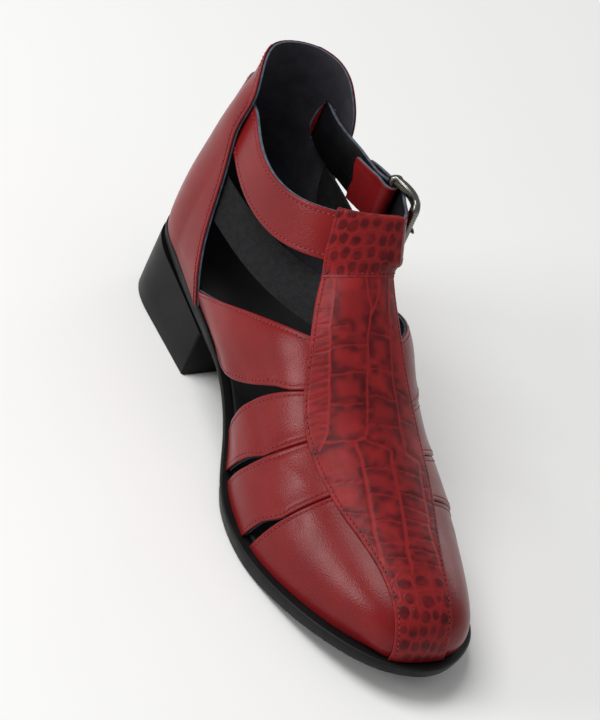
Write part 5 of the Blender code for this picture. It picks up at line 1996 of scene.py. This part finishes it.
@dataclass
class AnkleStrap:
    """Lined strap round the ankle, sewn along both edges, and the small loop that holds it at the heel."""

    per_row: int = 6
    tip: float = 5.0
    ragged: float = 1.2
    ragged_run: float = 6.0
    plain_end: int = 6
    gaps: Tuple[float, ...] = (0.0, 0.2, 0.55, 1.4, 2.1, 2.8, 4.2)
    loop_from: float = 16.6
    loop_to: float = 17.4
    loop_wall: float = 1.2
    loop_round: float = 1.6
    loop_edge: Edge = Edge(0.5, 1.6, 0.5, 0.1)

    def strap(self, sewing: Stitching) -> Object:
        """Strap with a rolled red face, a raw edge and a black inner face.

        Args:
            sewing: gathers the stitches.

        Returns:
            The piece.
        """
        count = (len(STRAP) - 1) * self.per_row
        t = np.linspace(0.0, len(STRAP) - 1.0, count + 1)
        p, across, out, width = PATH.frame(t)
        h = STRAP_THICK / 2.0
        run = run_along(p)
        tip = np.clip(1.0 - (run[-1] - run) / self.tip, 0.0, 1.0)
        half = width / 2.0 * np.sqrt(1.0 - 0.9 * tip**2)
        fade = (1.0 - smooth(run, 0.0, self.ragged_run))[:, None]
        frayed = fade * unit(np.gradient(p, axis=0)) * self.ragged
        gaps = np.array(self.gaps)
        face = h + LEATHER_EDGE.relief(gaps) * 0.8
        ring = [(o, -1.0, d) for o, d in zip(face, gaps)] + [(h, 0.0, 0.0)]
        ring += [(o, 1.0, d) for o, d in zip(face[::-1], gaps[::-1])]
        outside = len(ring)
        low = -h + 0.25
        ring += [(low, 1.0, 0.0), (-h, 1.0, 0.3), (-h, 0.0, 0.0), (-h, -1.0, 0.3), (low, -1.0, 0.0)]
        ring.append(ring[0])
        columns = []
        for o, w, d in ring:
            side = across * (w * np.maximum(half - d, 0.2))[:, None]
            columns.append(p + out * o + side + frayed * math.sin(3.4 * w + 0.7))
        points = np.stack(columns, 1)
        cells = np.array([0] * (outside - 1) + [1] + [2] * 4 + [1])
        tint = np.repeat(cells[None], count, 0)
        sewn, plain = self.gaps.index(LEATHER_EDGE.sewn_at), self.plain_end * self.per_row
        for k in (sewn, outside - 1 - sewn):
            sewing.add(points[plain:, k], out[plain:])
        return close_up(lay_grid("ankle_strap_leather", points, tint=tint))

    def loop(self) -> Object:
        """Leather loop over the strap at the back of the heel cup.

        Returns:
            The piece.
        """
        t = self.loop_from + (self.loop_to - self.loop_from) * edge_shares(16)
        p, across, out, width = PATH.frame(t)
        half = (width / 2.0 + GAP + self.loop_wall)[:, None]
        lift = STRAP_THICK / 2.0 + GAP + self.loop_wall
        near = -STRAP_THICK / 2.0
        turn = np.linspace(0.0, math.pi / 2.0, 6)
        r = self.loop_round
        knots = [(near, -1.0, 0.0), (lift - r - 0.4, -1.0, 0.0)]
        knots += [(lift - r + r * math.sin(a), -1.0, r - r * math.cos(a)) for a in turn]
        knots += [(lift, -1.0, d) for d in (3.5, 6.0, 8.5)]
        knots += [(o, 1.0, d) for o, _, d in knots[::-1]]
        grid = np.stack([p + out * o + across * w * (half - d) for o, w, d in knots], 1)
        normals = grid_normals(grid, (0.0, 1.0, 0.0))
        run = run_along(grid)
        relief = self.loop_edge.relief(np.minimum(run, run[-1] - run))
        sheet = lay_grid("heel_loop_leather", grid + normals * relief[..., None], normals)
        return thicken(sheet, self.loop_wall - 0.1)

    def build(self, finishes: Dict[str, Material]) -> None:
        """Make and dress the strap, its stitches and the heel loop.

        Args:
            finishes: the materials by name.
        """
        sewing = Stitching()
        layers = (finishes["calf"], finishes["edge"], finishes["strap_lining"])
        dress(self.strap(sewing), layers, "ankle_strap")
        dress(self.loop(), (finishes["calf"],), "heel_loop")
        sewing.build("strap_stitches", finishes["thread"], finishes["hole"])


@dataclass
class Buckle:
    """Fastened buckle: a bowed frame, ribbed in front and held by the strap's fold behind, and its prong."""

    rear: Tuple[float, float] = (77.0, 27.0)
    front: Tuple[float, float] = (95.1, 29.9)
    z: float = 106.2
    tall: float = 30.2
    bar: float = 4.4
    deep: float = 3.4
    bow: float = 2.5
    corner: float = 3.0
    pin_r: float = 1.0
    rib: float = 1.3
    rib_deep: float = 0.22
    knuckle: float = 0.9
    # Prong from the strap's hole to its tip over the front bar: s, x, height of its section
    prong: Table = (
        (80.4, 33.6, 3.0), (84.0, 33.4, 2.7), (88.0, 33.2, 2.4), (92.0, 33.0, 2.1), (97.0, 32.8, 1.8)
    )
    prong_deep: float = 1.6

    def oval(self, a: float, b: float, count: int = 20, full: float = 3.6) -> Array:
        """Rounded bar section of half sizes a and b, closed.

        Args:
            a: first half size.
            b: second half size.
            count: points round it.
            full: how square it is, from 2 for an ellipse.

        Returns:
            Points round the section.
        """
        turn = np.linspace(0.0, 2.0 * math.pi, count + 1)
        c, s = (np.sign(v) * np.abs(v) ** (2.0 / full) for v in (np.cos(turn), np.sin(turn)))
        return np.stack([a * c, b * s], -1)

    def path(self) -> List[Tuple[float, ...]]:
        """Places (s, z) round the frame from its middle, each with its outward direction, closed.

        Returns:
            Rows of place and direction.
        """
        r = self.corner
        hl, ht = (self.front[0] - self.rear[0]) / 2.0, (self.tall - self.bar) / 2.0
        path = []
        for qs, qz, start in ((1, 1, 0), (-1, 1, 1), (-1, -1, 2), (1, -1, 3)):
            for a in (start + np.linspace(0.0, 1.0, 9)) * math.pi / 2.0:
                ds, dz = math.cos(a), math.sin(a)
                path.append((qs * (hl - r) + r * ds, qz * (ht - r) + r * dz, ds, dz))
            if start in (0, 2):
                path += [(qs * (hl - r) * k, qz * ht, 0.0, qz) for k in np.linspace(1.0, -1.0, 17)[1:-1]]
            else:
                path += [(qs * hl, qz * (ht - r) * k, qs, 0.0) for k in np.linspace(1.0, -1.0, 121)[1:-1]]
        return path + path[:1]

    def ring(self) -> Object:
        """The frame: stout bowed bars, fine ribs across the front one, the rear one thin inside the fold.

        Returns:
            The piece.
        """
        (rear_s, rear_x), (front_s, front_x) = self.rear, self.front
        mid_s, mid_x, hl = (rear_s + front_s) / 2.0, (rear_x + front_x) / 2.0, (front_s - rear_s) / 2.0
        rows = []
        for s, z, ds, dz in self.path():
            thin = max(-ds, 0.0) ** 2.5
            along = s / hl
            x = mid_x + (front_x - mid_x) * along + self.bow * (1.0 - along**2)
            ribbed = ds > 0.999 and abs(z) < (self.tall - self.bar) / 2.0 - self.corner
            shrink = self.rib_deep * (0.5 - 0.5 * math.cos(2.0 * math.pi * z / self.rib)) if ribbed else 0.0
            a = self.bar / 2.0 + (self.pin_r - self.bar / 2.0) * thin - shrink * 0.5
            b = self.deep / 2.0 + (self.pin_r - self.deep / 2.0) * thin - shrink
            swell = 1.0 + self.knuckle * max(-ds, 0.0) * abs(dz)
            section = self.oval(a * swell, b * swell)
            rows.append([(mid_s + s + ds * i, x + o, self.z + z + dz * i) for i, o in section])
        return close_up(lay_grid("buckle_frame_metal", to_room(np.array(rows))))

    def tongue(self) -> Object:
        """Prong from the strap's hole over the front bar, rounded and tapering.

        Returns:
            The piece.
        """
        table = np.array(self.prong)
        run = np.linspace(0.0, 1.0, 33)
        line = spline(np.linspace(0.0, 1.0, len(table)), table, run)
        rows = []
        for k, (s, x, tall) in zip(run, line):
            ease = 1.0 - 0.45 * smooth(k, 0.93, 1.0)
            section = self.oval(tall / 2.0 * ease, self.prong_deep / 2.0 * ease, 16, 2.6)
            rows.append([(s, x + b, self.z + a) for a, b in section])
        return close_up(lay_grid("buckle_prong_metal", to_room(np.array(rows))))

    def build(self, finishes: Dict[str, Material]) -> None:
        """Make and dress the frame and the prong."""
        dress(self.ring(), (finishes["metal"],), "buckle_frame")
        dress(self.tongue(), (finishes["metal"],), "buckle_prong")


@dataclass
class Studio:
    """Pale floor, soft light and the camera at the photograph's angle to the shoe."""

    azimuth: float = -39.954
    elevation: float = 36.753
    roll: float = 24.679
    distance: float = 2335.13
    target: Tuple[float, float, float] = (-12.58, -118.89, 56.25)
    lens: float = 282.0
    sensor: float = 36.0
    floor: float = 8000.0
    aim: float = 50.0
    clip: float = 50000.0
    sky: float = 0.33
    # Soft boxes: place x, y, z, side and power in watts; all face the shoe. The first lights from above, the
    # second draws the highlights on the vamp and straps, the third the sheen on the far side
    boxes: Table = (
        (-650.0, 300.0, 1420.0, 900.0, 16.5),
        (-1420.0, 280.0, 430.0, 500.0, 8.6),
        (1320.0, 615.0, 375.0, 600.0, 2.4),
    )

    def camera(self) -> None:
        """Place the camera, rolled as in the photograph."""
        az, el, roll = (math.radians(v) for v in (self.azimuth, self.elevation, self.roll))
        back = Vector((math.sin(az) * math.cos(el), -math.cos(az) * math.cos(el), math.sin(el)))
        level = Vector((math.cos(az), math.sin(az), 0.0))
        above = back.cross(level)
        right = level * math.cos(roll) + above * math.sin(roll)
        up = above * math.cos(roll) - level * math.sin(roll)
        data = bpy.data.cameras.new("camera")
        data.lens, data.sensor_width, data.clip_end = self.lens, self.sensor, self.clip * MM
        camera = bpy.data.objects.new("camera", data)
        bpy.context.scene.collection.objects.link(camera)
        turn = Matrix((right, up, back)).transposed().to_4x4()
        target = Vector(to_row(self.target)[0])
        camera.matrix_world = Matrix.Translation(target + back * self.distance * MM) @ turn
        bpy.context.scene.camera = camera

    def lights(self) -> None:
        """Soft boxes and an even white surround."""
        world = bpy.data.worlds.new("white surround")
        bpy.context.scene.world = world
        world.use_nodes = True
        tree = world.node_tree
        shade = next(n for n in tree.nodes if n.type == "BACKGROUND")
        shade.inputs["Color"].default_value = linear("#FFFFFF")
        shade.inputs["Strength"].default_value = self.sky
        for k, (x, y, z, size, power) in enumerate(self.boxes):
            data = bpy.data.lights.new("soft_box_%d" % k, "AREA")
            data.size, data.energy = size * MM, power
            light = bpy.data.objects.new(data.name, data)
            light.location = Vector((x, y, z)) * MM
            away = light.location - Vector((0.0, 0.0, self.aim * MM))
            light.rotation_euler = away.to_track_quat("Z", "Y").to_euler()
            bpy.context.scene.collection.objects.link(light)

    def build(self, finishes: Dict[str, Material]) -> None:
        """Set the stage.

        Args:
            finishes: the materials by name.
        """
        clear_selection()
        bpy.ops.mesh.primitive_plane_add(size=self.floor * MM, location=(0.0, 0.0, 0.0))
        floor = bpy.context.active_object
        floor.name = "studio_floor"
        floor.data.materials.append(finishes["paper"])
        self.lights()
        self.camera()
        bpy.context.scene.view_settings.view_transform = "Standard"


def main() -> None:
    """Build every piece of the shoe in the order a maker would, then set the stage."""
    logging.basicConfig(level=logging.INFO, format="%(name)s: %(message)s")
    LOG.info("%d solids in the frame", len(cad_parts))
    looks = {"calf": CALF, "croc": CROC, "lining": LINING, "edge": EDGE, "strap_lining": STRAP_LINING,
             "thread": THREAD, "hole": HOLE_SHADE, "sole": SOLE_RUBBER, "heel": HEEL_LACQUER,
             "insole": INSOLE_LEATHER, "web": WEBBING, "metal": GUNMETAL, "paper": PAPER}
    finishes = {key: finish.make() for key, finish in looks.items()}
    for part in (Bottom(), Upper(), InstepStrip(), *ELASTICS, AnkleStrap(), Buckle(), Studio()):
        part.build(finishes)


if __name__ == "__main__":
    main()
